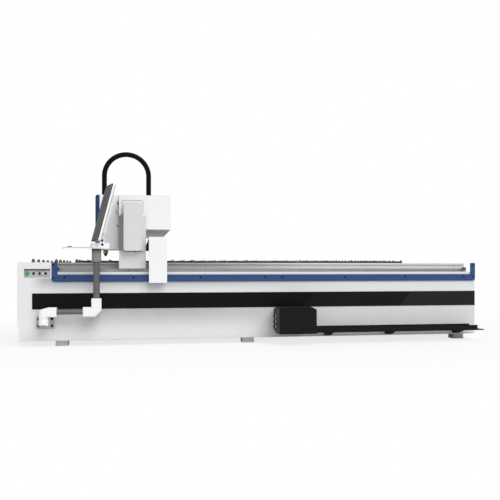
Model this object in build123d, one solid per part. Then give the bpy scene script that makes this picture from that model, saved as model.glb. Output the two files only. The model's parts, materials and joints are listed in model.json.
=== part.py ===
from build123d import *
from math import cos, hypot, pi, radians, sin
import os

# Fiber laser cutting machine with an open flat bed, millimetres.
# X runs along the bed, Y from the near side to the far side, Z up.
# The near side panel is the plane y = 0 while the pieces are drawn. The last step moves them all
# so that the origin lies on the floor, under the middle of the machine.

# Bed
BED_LENGTH = 5000
BED_WIDTH = 2300
BED_BOTTOM = 60
BED_TOP = 864
SHEET = 3
BEAM_TOP = 765
BEAM_WIDTH = 250
BEAM_CHAMFER = 12
SEAT_HEIGHT = 3
SEAT_MARGIN = 8
PANEL_LIFT = 5

# Front block, at the loading end
FRONT_LENGTH = 340
FRONT_STEP_TOP = 208
FRONT_STEP = 20
DECK_LENGTH = 255
FRAME_TUBE = 100
TUBE_LIFT = 40
TUBE_PITCH = 900
TUBE_COUNT = 6

# Black band along each side
STRIPE_BOTTOM = 385
STRIPE_HEIGHT = 162
STRIPE_INSET = 147
STRIPE_THICKNESS = 4

# Blue rail covers
COVER_BOTTOM = 664
COVER_HEIGHT = 74
COVER_REACH = 12
COVER_POST = 56
COVER_CORNER = 28
COVER_SPLIT = 2310
COVER_SEAM = 2

# Walls between the rails and the table
WALL_HEM = 18
WALL_LIP = 17
WALL_DROP = 65
WALL_END = 158
WALL_END_REAR = 123
WALL_SEAM = 1.2

# Rails and racks on the bed
RAIL_Y = 198
RAIL_WIDTH = 34
RAIL_HEIGHT = 32
RAIL_WAIST = 4
RAIL_END_GAP = 50
BLOCK_WIDTH = 66
BLOCK_HEIGHT = 60
BLOCK_LENGTH = 112
BLOCK_LIFT = 9
BLOCK_SPACING = 156
SLIDE_GAP = 0.4
RACK_WIDTH = 28
RACK_HEIGHT = 30
PINION_RADIUS = 32
PINION_HEIGHT = 26
PINION_GAP = 0.3
PINION_LIFT = 3
SHAFT_RADIUS = 11
STOP_LENGTH = 40
STOP_WIDTH = 30
STOP_HEIGHT = 50

# Slat table
TABLE_START = 600
TABLE_LENGTH = 3624
COMB_GAP = 9
COMB_THICKNESS = 12
COMB_BOTTOM = 780
COMB_TOP = 885
SLAT_PITCH = 116
SLAT_THICKNESS = 4
SLAT_BOTTOM = 806
SLAT_TOP = 899
SLAT_TEETH = 15
TOOTH_DEPTH = 42
SLOT_GAP = 0.4
LEDGE_HEIGHT = 15
TRAY_HEIGHT = 70
TRAY_MARGIN = 24
TRAY_SIDE_MARGIN = 45

# Ball rollers
ROLLER_RADIUS = 20
ROLLER_HEIGHT = 26
ROLLER_BALL = 13
SIDE_ROLLER_RADIUS = 13
SIDE_ROLLER_HEIGHT = 24
SIDE_ROLLER_BALL = 9
ROLLER_PITCH_Y = 400
ROLLER_ROWS = 3
ROLLER_ROW_PITCH = 211
ROLLER_ROW_START = 138
SIDE_ROLLER_START = 1190
SIDE_ROLLER_PITCH = 605
SIDE_ROLLER_COUNT = 6

# Levelling feet
FOOT_SIZE = 127
FOOT_INSET = 60
FOOT_PAD = 14
FOOT_BEVEL = 8
FOOT_PLACES = (434, 2387, 4896 - 127 / 2)

# Push buttons, in a recess of the front block
RECESS_START = 68
RECESS_LENGTH = 255
RECESS_BOTTOM = 707
RECESS_HEIGHT = 89
RECESS_DEPTH = 12
RECESS_RIM = 8
PANEL_BACK = 3
BUTTON_PLACES = (98, 161, 220, 279)
GREEN_RADIUS = 24
BLACK_RADIUS = 14
BUTTON_STEM = 8
BUTTON_STEM_LENGTH = 30
BUTTON_GAP = 0.5
BUTTON_TRAVEL = 4
BEZEL_WIDTH = 4
BEZEL_HEIGHT = 3
STEM_GAP = 0.3
POCKET_DEPTH = 80
POCKET_MARGIN = 18

# Cable junction box and cable tray, near side
JUNCTION_START = 2644
JUNCTION_LENGTH = 397
JUNCTION_DEPTH = 350
JUNCTION_BOTTOM = 122
JUNCTION_HEIGHT = 278
JUNCTION_BACK = 150
JUNCTION_INSET = 14
JUNCTION_BEVEL = 26
JUNCTION_NOTCH = 8
CHANNEL_LENGTH = 1860
CHANNEL_TONGUE = 82
CHANNEL_NEAR = 250
CHANNEL_WIDTH = 190
CHANNEL_HEIGHT = 58
CHANNEL_WALL = 4
BRACKET_WIDTH = 60
BRACKET_PLACES = (209, 909, 1709)
BRACKET_DROP = 46
BRACKET_TOE = 70

# Gantry, drawn about the middle of its foot
GANTRY_X = -1347
GANTRY_TRAVEL = 3000
FOOT_LENGTH = 280
FOOT_PLATE = 20
END_PLATE = 16
END_PLATE_BOTTOM = 800
END_PLATE_TOP = 1385
END_PLATE_CORNER = 50
LEG_DEPTH = 187
LEG_WALL = 14
BEAM_BOTTOM_Z = 1205
BEAM_TOP_Z = 1573
BEAM_END_Y = 60
BEAM_WALL = 10
BEAM_FLANGE = 4
FLANGE_WIDTH = 236
FLANGE_TOP = 1530
FLANGE_CORNER = 20
MOTOR_COVER_WIDTH = 186
MOTOR_COVER_BOTTOM = 983
MOTOR_COVER_TOP = 1495
MOTOR_COVER_REACH = 34
MOTOR_COVER_CORNER = 26
MOTOR_COVER_EDGE = 7
MOTOR_SLOT_GAP = 8
MOTOR_SIZE = 106
MOTOR_HEIGHT = 185
GEARBOX_RADIUS = 33
GEARBOX_HEIGHT = 141
SHAFT_HOLE = 34

# White cover that hangs outside the rail cover, and its bracket
DRIVE_COVER_START = 168
DRIVE_COVER_WIDTH = 185
DRIVE_COVER_BOTTOM = 652
DRIVE_COVER_TOP = 1128
DRIVE_COVER_REACH = 100
DRIVE_COVER_BEND = 827
DRIVE_COVER_SKIRT = 18
BRACE_BOTTOM = 985
BRACE_TOP = 1115
BRACE_SLANT = 66
BRACE_PLATE = 12

# Cable trough behind the gantry beam
TROUGH_WIDTH = 259
TROUGH_BOTTOM = 1213

# Rails and rack on the gantry beam
FACE_RAIL_WIDTH = 22
FACE_RAIL_DEPTH = 20
FACE_RAIL_LOW = 1270
FACE_RAIL_HIGH = 1510
FACE_RAIL_MARGIN = 44
FACE_RACK_Z = 1392
FACE_RACK_HEIGHT = 26
FACE_RACK_DEPTH = 24
FACE_BLOCK_WIDTH = 52
FACE_BLOCK_LENGTH = 80
FACE_BLOCK_DEPTH = 36
FACE_BLOCK_LIFT = 6
FACE_BLOCK_INSET = 10

# Carriage and its covers
HEAD_Y = 400
HEAD_TRAVEL = 1500
CARRIAGE_PLATE = 14
CARRIAGE_BOTTOM = 1030
CARRIAGE_TOP_GAP = 6
HEAD_COVER_WIDTH = 300
HEAD_COVER_BOTTOM = 1003
HEAD_COVER_TOP = 1592
HEAD_COVER_GAP = 8
NOTCH_GAP = 5
HEAD_COVER_FRONT = 348
NOSE_DEPTH = 45
NOSE_ROUND = 26
TRAVERSE_Y = 105
TRAVERSE_PINION = 26
TRAVERSE_FACE = 22
TRAVERSE_MOTOR = 76
TRAVERSE_MOTOR_LENGTH = 130
LIFT_RIB = 14
LIFT_RIB_DEPTH = 18
LIFT_RIB_SPACING = 84
LIFT_RIB_LENGTH = 430
SCREW_RADIUS = 8
SCREW_GAP = 0.05
SCREW_OUT = 17
BEARING_HEIGHT = 24
BEARING_WIDTH = 34
LIFT_MOTOR = 50
LIFT_MOTOR_HEIGHT = 66

# Cable arch from the head cover to the trough
ARCH_RADIUS = 27
ARCH_LEFT = 303
ARCH_RIGHT = 175
ARCH_SPRING = 1815
ARCH_TAIL = 32
GLAND_WIDTH = 10
GLAND_HEIGHT = 14
GLAND_GAP = 0.4
CARRIER_THICKNESS = 8
CARRIER_WIDTH = 84
CARRIER_TAIL = 160

# Cutting head
NOZZLE_X = 290
MODULE_SIZE = 90
MODULE_BOTTOM = 1092
MODULE_TOP = 1430
MODULE_GROOVE = 4
CONE_TOP = 40
CONE_BOTTOM = 27
NOZZLE_SEAT = 1003
NOZZLE_SHOULDER = 966
NOZZLE_TIP = 935
NOZZLE_TIP_RADIUS = 7
NOZZLE_BORE = 3
LIFT_PLATE = 12
LIFT_PLATE_WIDTH = 118
LIFT_PLATE_BOTTOM = 1120
LIFT_PLATE_TOP = 1400
RUNNER_LENGTH = 60
RUNNER_WALL = 8
NUT_HEIGHT = 40

# Operator arm, near side
ARM_OUT = 150
ARM_BASE_X = 278
ARM_REACH = 516
FLANGE_PLATE = (180, 131)
FLANGE_BOLTS = (132, 72)
FLANGE_THICKNESS = 12
FLANGE_BOLT_RADIUS = 7
FLANGE_MIDDLE_Z = 252
JOINT_RADIUS = 46
BASE_BOTTOM = 225
BASE_TOP = 290
BASE_ARCH = 75
BASE_ARCH_RISE = 12
PIVOT_RADIUS = 16
PIVOT_HEIGHT = 60
PIVOT_GAP = 0.06
JOINT_GAP = 0.4
ELBOW_LEG_BOTTOM = 318
ELBOW_LEG_TOP = 411
ELBOW_LEG_END = 128
ELBOW_SLANT = 26
ARM_ROUND = 9
ARM_TUBE_RADIUS = 26
CORNER_START = 383
CORNER_HALF = 49
CORNER_TOP = 499
CORNER_BEVEL = 60
POST_RADIUS = 33
POST_TOP = 872
SLEEVE_RADIUS = 47
SLEEVE_TOP = 1001

# Console on the arm
CONSOLE_YAW = 13
CONSOLE_HALF = 60
CONSOLE_FRONT = 50
CONSOLE_BACK = 120
CONSOLE_TOP = 1058
EAR_THICKNESS = 14
EAR_RADIUS = 22
TILT_X = 46
TILT_Z = 1083
TILT_PIN = 8
SHELF_LENGTH = 270
SHELF_WIDTH = 260
SHELF_Z = 1013
SHELF_LIP = 12
MONITOR_LEAN = 14.8
MONITOR_HEIGHT = 590
MONITOR_WIDTH = 330
MONITOR_FRONT = 26
MONITOR_BOTTOM = 1081
MONITOR_CORNER = 10
BEZEL_THICKNESS = 12
BEZEL_BORDER = 16
SCREEN_DEPTH = 5
SCREEN_GAP = 0.5
BACK_THICKNESS = 30
BACK_MARGIN = 4
BACK_BOX_DEPTH = 26
BACK_BOX_WIDTH = 220
BACK_BOX_BOTTOM = 85
BACK_BOX_TOP = 400

# Places that follow from the sizes above
LEFT = -BED_LENGTH / 2
RIGHT = BED_LENGTH / 2
MIDDLE_Y = BED_WIDTH / 2
NEAR_REACH = JUNCTION_DEPTH
FAR_REACH = MOTOR_COVER_REACH
NEAR_Y = (NEAR_REACH - FAR_REACH - BED_WIDTH) / 2
PANEL_BOTTOM = BED_BOTTOM + PANEL_LIFT
FRONT_END = LEFT + FRONT_LENGTH
WALL_Y = BEAM_WIDTH
SEAT_TOP = BEAM_TOP + SEAT_HEIGHT
RAIL_START = FRONT_END + RAIL_END_GAP
RAIL_END = RIGHT - RAIL_END_GAP
TABLE_LEFT = LEFT + TABLE_START
TABLE_RIGHT = TABLE_LEFT + TABLE_LENGTH
COMB_Y = WALL_Y + SHEET + COMB_GAP
SLAT_COUNT = int((TABLE_LENGTH - SLAT_PITCH) / SLAT_PITCH) + 1
RACK_Y = RAIL_Y - BLOCK_WIDTH / 2 - 15 - RACK_WIDTH
PINION_Y = RACK_Y - PINION_RADIUS
FOOT_Z = SEAT_TOP + BLOCK_HEIGHT
FLANGE_Y = BEAM_END_Y - BEAM_FLANGE
END_PLATE_Y = FLANGE_Y - END_PLATE
LEG_BACK = END_PLATE_Y + LEG_DEPTH
FACE_X = GANTRY_X - FOOT_LENGTH / 2
REAR_X = GANTRY_X + FOOT_LENGTH / 2
PLATE_X = FACE_X - FACE_BLOCK_DEPTH - CARRIAGE_PLATE
CARRIER_Z = BEAM_TOP_Z + CARRIAGE_TOP_GAP
NOSE_X = GANTRY_X - HEAD_COVER_FRONT
AXIS_X = GANTRY_X - NOZZLE_X
SCREW_X = PLATE_X - SCREW_OUT
LIFT_X = PLATE_X - LIFT_RIB_DEPTH - RUNNER_WALL
BASE_X = LEFT + ARM_BASE_X
POST_X = BASE_X + ARM_REACH


# Drawing helpers

def block(x0, x1, y0, y1, z0, z1):
    """A rectangular solid between two corners."""
    middle = Pos((x0 + x1) / 2, (y0 + y1) / 2, (z0 + z1) / 2)
    return middle * Box(abs(x1 - x0), abs(y1 - y0), abs(z1 - z0))


def rod(radius, start, end):
    """A round bar between two points on a line parallel to an axis."""
    axis = Vector(*end) - Vector(*start)
    plane = Plane(origin=start, z_dir=axis)
    return extrude(plane * Circle(radius), amount=axis.length)


def along_x(outline, x0, x1):
    """A (y, z) outline drawn out along X."""
    face = make_face(Polyline(*[(x0, y, z) for y, z in outline], close=True))
    return extrude(face, amount=x1 - x0, dir=(1, 0, 0))


def along_y(outline, y0, y1):
    """An (x, z) outline drawn out along Y."""
    face = make_face(Polyline(*[(x, y0, z) for x, z in outline], close=True))
    return extrude(face, amount=y1 - y0, dir=(0, 1, 0))


def along_z(outline, z0, z1):
    """An (x, y) outline drawn out along Z."""
    face = make_face(Polyline(*[(x, y, z0) for x, y in outline], close=True))
    return extrude(face, amount=z1 - z0, dir=(0, 0, 1))


def turned(outline, x, y):
    """An (r, z) outline turned about the vertical line through x, y."""
    face = make_face(Polyline(*[(r, 0, z) for r, z in outline], close=True))
    return Pos(x, y, 0) * revolve(face, axis=Axis.Z)


def folded(line, thickness):
    """The closed outline of a sheet whose one side follows an open line of points.

    The thickness lies to the left of the line's direction.
    """
    normals = []
    for (ax, ay), (bx, by) in zip(line, line[1:]):
        length = hypot(bx - ax, by - ay)
        normals.append(((ay - by) / length, (bx - ax) / length))
    inner = []
    for index, (px, py) in enumerate(line):
        before = normals[max(index - 1, 0)]
        after = normals[min(index, len(normals) - 1)]
        mitre = 1 + before[0] * after[0] + before[1] * after[1]
        shift_x = (before[0] + after[0]) * thickness / mitre
        shift_y = (before[1] + after[1]) * thickness / mitre
        inner.append((px + shift_x, py + shift_y))
    return list(line) + inner[::-1]


def rounded_block(x0, x1, y0, y1, z0, z1, radius, axis):
    """A rectangular solid with its edges along one axis rounded."""
    solid = block(x0, x1, y0, y1, z0, z1)
    return fillet(solid.edges().filter_by(axis), radius)


def group(solids):
    """Separate solids that belong to one sub-part."""
    return Compound([piece.solid() for piece in solids])


def far(shape):
    """The same piece on the far side."""
    return mirror(shape, about=Plane(origin=(0, MIDDLE_Y, 0), z_dir=(0, 1, 0)))


def both_sides(shape):
    """A near piece and its far twin."""
    return group([shape, far(shape)])


# Bed structure

def side_beams():
    """Welded box beams under the rails, with a ground seat and a pocket for the push buttons."""
    seat_near = RAIL_Y - RAIL_WIDTH / 2 - SEAT_MARGIN
    seat_far = RAIL_Y + RAIL_WIDTH / 2 + SEAT_MARGIN
    outline = [
        (SHEET, BED_BOTTOM),
        (BEAM_WIDTH - BEAM_CHAMFER, BED_BOTTOM),
        (BEAM_WIDTH, BED_BOTTOM + BEAM_CHAMFER),
        (BEAM_WIDTH, BEAM_TOP),
        (seat_far, BEAM_TOP),
        (seat_far, SEAT_TOP),
        (seat_near, SEAT_TOP),
        (seat_near, BEAM_TOP),
        (SHEET, BEAM_TOP),
    ]
    beam = along_x(outline, LEFT + FRONT_STEP + SHEET, RIGHT - SHEET)
    pocket_left = LEFT + RECESS_START - POCKET_MARGIN
    pocket_right = pocket_left + RECESS_LENGTH + 2 * POCKET_MARGIN
    pocket = block(pocket_left, pocket_right, 0, POCKET_DEPTH, RECESS_BOTTOM - POCKET_MARGIN, BED_TOP)
    front_seat = block(LEFT, FRONT_END, seat_near, seat_far, BEAM_TOP, BED_TOP)
    return group([beam - pocket - front_seat, far(beam - front_seat)])


def cross_members():
    """Square tubes between the beams, the deck supports and the ledges of the slat frame."""
    tubes = []
    low = BED_BOTTOM + TUBE_LIFT
    far_face = BED_WIDTH - BEAM_WIDTH
    first = -TUBE_PITCH * (TUBE_COUNT - 1) / 2
    for index in range(TUBE_COUNT):
        x = first + index * TUBE_PITCH
        tube = block(x - FRAME_TUBE / 2, x + FRAME_TUBE / 2, BEAM_WIDTH, far_face, low, low + FRAME_TUBE)
        tubes.append(tube)
    front_x = LEFT + FRONT_LENGTH * 0.55
    tubes.append(block(front_x, front_x + FRAME_TUBE, 100, BED_WIDTH - 100, BEAM_TOP, BED_TOP - SHEET))
    rear_x = (TABLE_RIGHT + RIGHT) / 2
    inside = WALL_Y + SHEET
    tubes.append(block(rear_x, rear_x + FRAME_TUBE, inside, BED_WIDTH - inside, BEAM_TOP, BED_TOP - SHEET))
    ledge = block(TABLE_LEFT, TABLE_RIGHT, inside, COMB_Y + COMB_THICKNESS, COMB_BOTTOM - LEDGE_HEIGHT, COMB_BOTTOM)
    tubes += [ledge, far(ledge)]
    return group(tubes)


def front_cover():
    """One folded sheet over the loading end, with the set-back foot strip of the end wall."""
    line = [
        (LEFT + FRONT_STEP, PANEL_BOTTOM),
        (LEFT + FRONT_STEP, FRONT_STEP_TOP),
        (LEFT, FRONT_STEP_TOP),
        (LEFT, BED_TOP),
        (FRONT_END, BED_TOP),
        (FRONT_END, BEAM_TOP),
    ]
    return along_y(folded(line[::-1], SHEET), SHEET, BED_WIDTH - SHEET)


def front_deck():
    """Deck sheet between the front cover and the slat table."""
    line = [
        (FRONT_END, BED_TOP - 60),
        (FRONT_END, BED_TOP),
        (FRONT_END + DECK_LENGTH, BED_TOP),
        (FRONT_END + DECK_LENGTH, BED_TOP - 60),
    ]
    inside = WALL_Y + SHEET
    return along_y(folded(line[::-1], SHEET), inside, BED_WIDTH - inside)


def rear_cover():
    """End wall and deck behind the slat table, one folded sheet."""
    inside = WALL_Y + SHEET
    wall = [
        (SHEET, PANEL_BOTTOM),
        (BED_WIDTH - SHEET, PANEL_BOTTOM),
        (BED_WIDTH - SHEET, BEAM_TOP),
        (BED_WIDTH - inside, BEAM_TOP),
        (BED_WIDTH - inside, BED_TOP),
        (inside, BED_TOP),
        (inside, BEAM_TOP),
        (SHEET, BEAM_TOP),
    ]
    deck_start = TABLE_RIGHT + SHEET
    deck = along_y(
        folded([(RIGHT, BED_TOP), (deck_start, BED_TOP), (deck_start, BED_TOP - 60)], SHEET),
        inside,
        BED_WIDTH - inside,
    )
    return along_x(wall, RIGHT - SHEET, RIGHT) + deck


def side_panel_blank():
    """Flat sheet along one side, full height at the front block."""
    outline = [
        (LEFT + FRONT_STEP, PANEL_BOTTOM),
        (RIGHT, PANEL_BOTTOM),
        (RIGHT, BEAM_TOP),
        (FRONT_END, BEAM_TOP),
        (FRONT_END, BED_TOP),
        (LEFT, BED_TOP),
        (LEFT, FRONT_STEP_TOP),
        (LEFT + FRONT_STEP, FRONT_STEP_TOP),
    ]
    return along_y(outline, 0, SHEET)


def near_side_panel():
    """Side sheet with the window for the push buttons."""
    left = LEFT + RECESS_START
    window = block(left, left + RECESS_LENGTH, -1, SHEET + 1, RECESS_BOTTOM, RECESS_BOTTOM + RECESS_HEIGHT)
    return side_panel_blank() - window


def side_stripes():
    """Glossy black band on each side."""
    band = block(
        LEFT + STRIPE_INSET, RIGHT, -STRIPE_THICKNESS, 0, STRIPE_BOTTOM, STRIPE_BOTTOM + STRIPE_HEIGHT
    )
    return both_sides(band)


def rail_cover(x0, x1, post_left):
    """Blue folded tray over the rail, with a post that stands up at its outer end."""
    top = COVER_BOTTOM + COVER_HEIGHT
    bar = block(x0, x1, -COVER_REACH, 0, COVER_BOTTOM, top)
    post_x = x0 if post_left else x1 - COVER_POST
    post = block(post_x, post_x + COVER_POST, -COVER_REACH, 0, COVER_BOTTOM, BED_TOP)
    corner_x = x0 if post_left else x1
    body = bar + post
    corner = body.edges().filter_by(Axis.Y).filter_by_position(Axis.X, corner_x - 1, corner_x + 1)
    body = fillet(corner.sort_by(Axis.Z)[0], COVER_CORNER)
    hollow_bar = block(x0 + SHEET, x1 - SHEET, SHEET - COVER_REACH, 1, COVER_BOTTOM + SHEET, top - SHEET)
    hollow_post = block(
        post_x + SHEET, post_x + COVER_POST - SHEET, SHEET - COVER_REACH, 1, COVER_BOTTOM + SHEET, BED_TOP - SHEET
    )
    hollow = hollow_bar + hollow_post
    inner_x = corner_x + (SHEET if post_left else -SHEET)
    inner = hollow.edges().filter_by(Axis.Y).filter_by_position(Axis.X, inner_x - 1, inner_x + 1)
    hollow = fillet(inner.sort_by(Axis.Z)[0], COVER_CORNER - SHEET)
    return body - hollow


def near_rail_covers():
    """The two blue covers of one side, with a seam between them."""
    seam = FRONT_END + COVER_SPLIT
    left = rail_cover(FRONT_END, seam - COVER_SEAM / 2, True)
    right = rail_cover(seam + COVER_SEAM / 2, RIGHT, False)
    return group([left, right])


def rail_walls():
    """Sheet walls between rails and table, hemmed at the top, in three lengths on each side."""
    line = [
        (WALL_Y + SHEET, BEAM_TOP - WALL_DROP),
        (WALL_Y + SHEET, BED_TOP),
        (WALL_Y + SHEET - WALL_LIP, BED_TOP),
        (WALL_Y + SHEET - WALL_LIP, BED_TOP - WALL_HEM),
    ]
    outline = folded(line, SHEET)
    first = FRONT_END + WALL_END
    last = RIGHT - SHEET - WALL_END_REAR
    spans = ((FRONT_END, first - WALL_SEAM), (first, last - WALL_SEAM), (last, RIGHT - SHEET))
    near = [along_x(outline, x0, x1) for x0, x1 in spans]
    return group(near + [far(wall) for wall in near])


def rail_outline(half, base_z, height, waist):
    """Section of a profile rail about its middle line."""
    return [
        (-half, base_z),
        (half, base_z),
        (half, base_z + height * 0.3),
        (half - waist, base_z + height * 0.5),
        (half - waist, base_z + height * 0.7),
        (half, base_z + height * 0.8),
        (half, base_z + height),
        (-half, base_z + height),
        (-half, base_z + height * 0.8),
        (waist - half, base_z + height * 0.7),
        (waist - half, base_z + height * 0.5),
        (-half, base_z + height * 0.3),
    ]


def guide_rails():
    """Profile rails that carry the gantry."""
    section = rail_outline(RAIL_WIDTH / 2, SEAT_TOP, RAIL_HEIGHT, RAIL_WAIST)
    rail = along_x([(RAIL_Y + y, z) for y, z in section], RAIL_START, RAIL_END)
    return both_sides(rail)


def drive_racks():
    """Rack bars beside the rails, drawn to their pitch line."""
    return both_sides(block(RAIL_START, RAIL_END, RACK_Y, RACK_Y + RACK_WIDTH, BEAM_TOP, BEAM_TOP + RACK_HEIGHT))


def rail_end_stops():
    """Rubber buffers on plates at both ends of each rail."""
    low = BEAM_TOP
    stops = []
    for x0, x1 in ((RAIL_START - STOP_LENGTH, RAIL_START), (RAIL_END, RAIL_END + STOP_LENGTH)):
        near_y = RAIL_Y - STOP_WIDTH / 2
        stop = rounded_block(x0, x1, near_y, near_y + STOP_WIDTH, low, low + STOP_HEIGHT, 5, Axis.X)
        base = block(x0, x1, near_y, near_y + STOP_WIDTH, low, SEAT_TOP)
        stops.append(stop - base)
    return group(stops + [far(stop) for stop in stops])


def levelling_feet():
    """Square feet under the beams, three on each side."""
    feet = []
    for place in FOOT_PLACES:
        x0 = LEFT + place - FOOT_SIZE / 2
        body = block(x0, x0 + FOOT_SIZE, FOOT_INSET, FOOT_INSET + FOOT_SIZE, FOOT_PAD, BED_BOTTOM)
        body = chamfer(body.edges().filter_by(Axis.Z), FOOT_BEVEL)
        pad = block(x0, x0 + FOOT_SIZE, FOOT_INSET, FOOT_INSET + FOOT_SIZE, 0, FOOT_PAD)
        foot = body + pad
        feet += [foot, far(foot)]
    return group(feet)


# Slat table

def slat_places():
    """X of the middle of each slat."""
    run = (SLAT_COUNT - 1) * SLAT_PITCH
    first = (TABLE_LEFT + TABLE_RIGHT - run) / 2
    return [first + index * SLAT_PITCH for index in range(SLAT_COUNT)]


def slat_frame():
    """Comb bars that hold the slats upright, and the bars across their ends."""
    half = SLAT_THICKNESS / 2 + SLOT_GAP
    outline = [(TABLE_LEFT, COMB_TOP), (TABLE_LEFT, COMB_BOTTOM), (TABLE_RIGHT, COMB_BOTTOM), (TABLE_RIGHT, COMB_TOP)]
    for x in reversed(slat_places()):
        outline += [(x + half, COMB_TOP), (x + half, SLAT_BOTTOM), (x - half, SLAT_BOTTOM), (x - half, COMB_TOP)]
    comb = along_y(outline, COMB_Y, COMB_Y + COMB_THICKNESS)
    inner = COMB_Y + COMB_THICKNESS
    bar = block(TABLE_LEFT, TABLE_LEFT + COMB_THICKNESS, inner, BED_WIDTH - inner, COMB_BOTTOM, BED_TOP)
    shift = TABLE_LENGTH - COMB_THICKNESS
    return group([comb, far(comb), bar, Pos(shift, 0, 0) * bar])


def slats():
    """Toothed support slats across the table."""
    near_y = COMB_Y
    far_y = BED_WIDTH - COMB_Y
    pitch = (far_y - near_y) / SLAT_TEETH
    valley = SLAT_TOP - TOOTH_DEPTH
    outline = [(far_y, SLAT_BOTTOM), (near_y, SLAT_BOTTOM), (near_y, valley)]
    for tooth in range(SLAT_TEETH):
        outline.append((near_y + (tooth + 0.5) * pitch, SLAT_TOP))
        outline.append((near_y + (tooth + 1) * pitch, valley))
    half = SLAT_THICKNESS / 2
    return group([along_x(outline, x - half, x + half) for x in slat_places()])


def scrap_tray():
    """Folded tray on the cross members, for what falls between the slats."""
    low = BED_BOTTOM + TUBE_LIFT + FRAME_TUBE
    left = TABLE_LEFT + TRAY_MARGIN
    right = TABLE_RIGHT - TRAY_MARGIN
    near_y = BEAM_WIDTH + TRAY_SIDE_MARGIN
    far_y = BED_WIDTH - near_y
    body = block(left, right, near_y, far_y, low, low + TRAY_HEIGHT)
    hollow = block(left + SHEET, right - SHEET, near_y + SHEET, far_y - SHEET, low + SHEET, low + TRAY_HEIGHT + 1)
    return body - hollow


def roller(x, y, radius, height, ball):
    """Ball roller: a turned cup with the crown of its ball."""
    z = BED_TOP
    crown = height + ball
    cup = [
        (0, z),
        (radius, z),
        (radius, z + height * 0.3),
        (ball, z + height),
        (ball * 0.7, z + crown - ball * 0.3),
        (0, z + crown),
    ]
    return turned(cup, x, y)


def ball_rollers():
    """Rows of ball rollers on the loading deck and along both sides of the table."""
    units = []
    for row in range(ROLLER_ROWS):
        x = LEFT + ROLLER_ROW_START + row * ROLLER_ROW_PITCH
        count = 6 if row == 0 else 5
        first = MIDDLE_Y - (count - 1) * ROLLER_PITCH_Y / 2
        for index in range(count):
            y = first + index * ROLLER_PITCH_Y
            units.append(roller(x, y, ROLLER_RADIUS, ROLLER_HEIGHT, ROLLER_BALL))
    side_y = WALL_Y + SHEET - WALL_LIP / 2
    for index in range(SIDE_ROLLER_COUNT):
        x = LEFT + SIDE_ROLLER_START + index * SIDE_ROLLER_PITCH
        unit = roller(x, side_y, SIDE_ROLLER_RADIUS, SIDE_ROLLER_HEIGHT, SIDE_ROLLER_BALL)
        units += [unit, far(unit)]
    return group(units)


# Push buttons

def button_centre(place):
    """X and Z of one push button."""
    return LEFT + BUTTON_PLACES[place], RECESS_BOTTOM + RECESS_HEIGHT / 2


def button_panel():
    """Recessed tray with a light ring round each push button."""
    left = LEFT + RECESS_START
    right = left + RECESS_LENGTH
    top = RECESS_BOTTOM + RECESS_HEIGHT
    back = RECESS_DEPTH + PANEL_BACK
    tray = block(left - RECESS_RIM, right + RECESS_RIM, SHEET, back, RECESS_BOTTOM - RECESS_RIM, top + RECESS_RIM)
    tray -= block(left, right, 0, RECESS_DEPTH, RECESS_BOTTOM, top)
    for place in range(len(BUTTON_PLACES)):
        x, z = button_centre(place)
        radius = (GREEN_RADIUS if place == 0 else BLACK_RADIUS) + BUTTON_GAP
        tray += rod(radius + BEZEL_WIDTH, (x, RECESS_DEPTH - BEZEL_HEIGHT, z), (x, RECESS_DEPTH, z))
        tray -= rod(radius, (x, 0, z), (x, RECESS_DEPTH, z))
        tray -= rod(BUTTON_STEM + STEM_GAP, (x, 0, z), (x, back + 1, z))
    return tray


def push_button(place):
    """Cap and stem of one push button, with a rounded front edge."""
    x, z = button_centre(place)
    radius = GREEN_RADIUS if place == 0 else BLACK_RADIUS
    back = RECESS_DEPTH - BUTTON_TRAVEL - 1
    cap = rod(radius, (x, 0, z), (x, back, z))
    front = cap.edges().sort_by(Axis.Y)[0]
    cap = fillet(front, 4)
    return cap + rod(BUTTON_STEM, (x, back, z), (x, back + BUTTON_STEM_LENGTH, z))


# Cable junction box and cable tray

def junction_box():
    """Black steel box that stands out from the near side, on a narrower back part."""
    left = LEFT + JUNCTION_START
    right = left + JUNCTION_LENGTH
    top = JUNCTION_BOTTOM + JUNCTION_HEIGHT
    front = [
        (left, JUNCTION_BOTTOM),
        (right, JUNCTION_BOTTOM),
        (right, top - JUNCTION_BEVEL),
        (right - 2 * JUNCTION_BEVEL, top),
        (left, top),
    ]
    body = along_y(front, -JUNCTION_DEPTH, -JUNCTION_BACK)
    inset = JUNCTION_INSET
    body += block(
        left + inset, right - inset, -JUNCTION_BACK, 0, JUNCTION_BOTTOM + inset, top - 2 * inset
    )
    notch_y = (-JUNCTION_DEPTH - JUNCTION_BACK) / 2
    for share in (0.3, 0.48):
        z = JUNCTION_BOTTOM + share * JUNCTION_HEIGHT
        body -= rod(JUNCTION_NOTCH, (left - 1, notch_y, z), (left + JUNCTION_NOTCH, notch_y, z))
    return body


def cable_tray():
    """U-shaped steel tray for the cable chain, with a bottom tongue and three arms to the bed."""
    start = LEFT + JUNCTION_START + JUNCTION_LENGTH
    end = start + CHANNEL_LENGTH
    near_y = -CHANNEL_NEAR
    far_y = near_y + CHANNEL_WIDTH
    low = JUNCTION_BOTTOM
    top = low + CHANNEL_HEIGHT
    wall = CHANNEL_WALL
    outline = folded([(near_y, top), (near_y, low), (far_y, low), (far_y, top)], wall)
    tray = along_x(outline, start, end)
    tray += block(end, end + CHANNEL_TONGUE, near_y, far_y, low, low + 2 * wall)
    for place in BRACKET_PLACES:
        x = start + place
        arm = [
            (0, low),
            (near_y + BRACKET_TOE, low),
            (near_y + BRACKET_TOE, low - wall),
            (-BRACKET_TOE, low - BRACKET_DROP),
            (0, low - BRACKET_DROP),
        ]
        tray += along_x(arm, x - BRACKET_WIDTH / 2, x + BRACKET_WIDTH / 2)
    return tray


# Gantry

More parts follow.
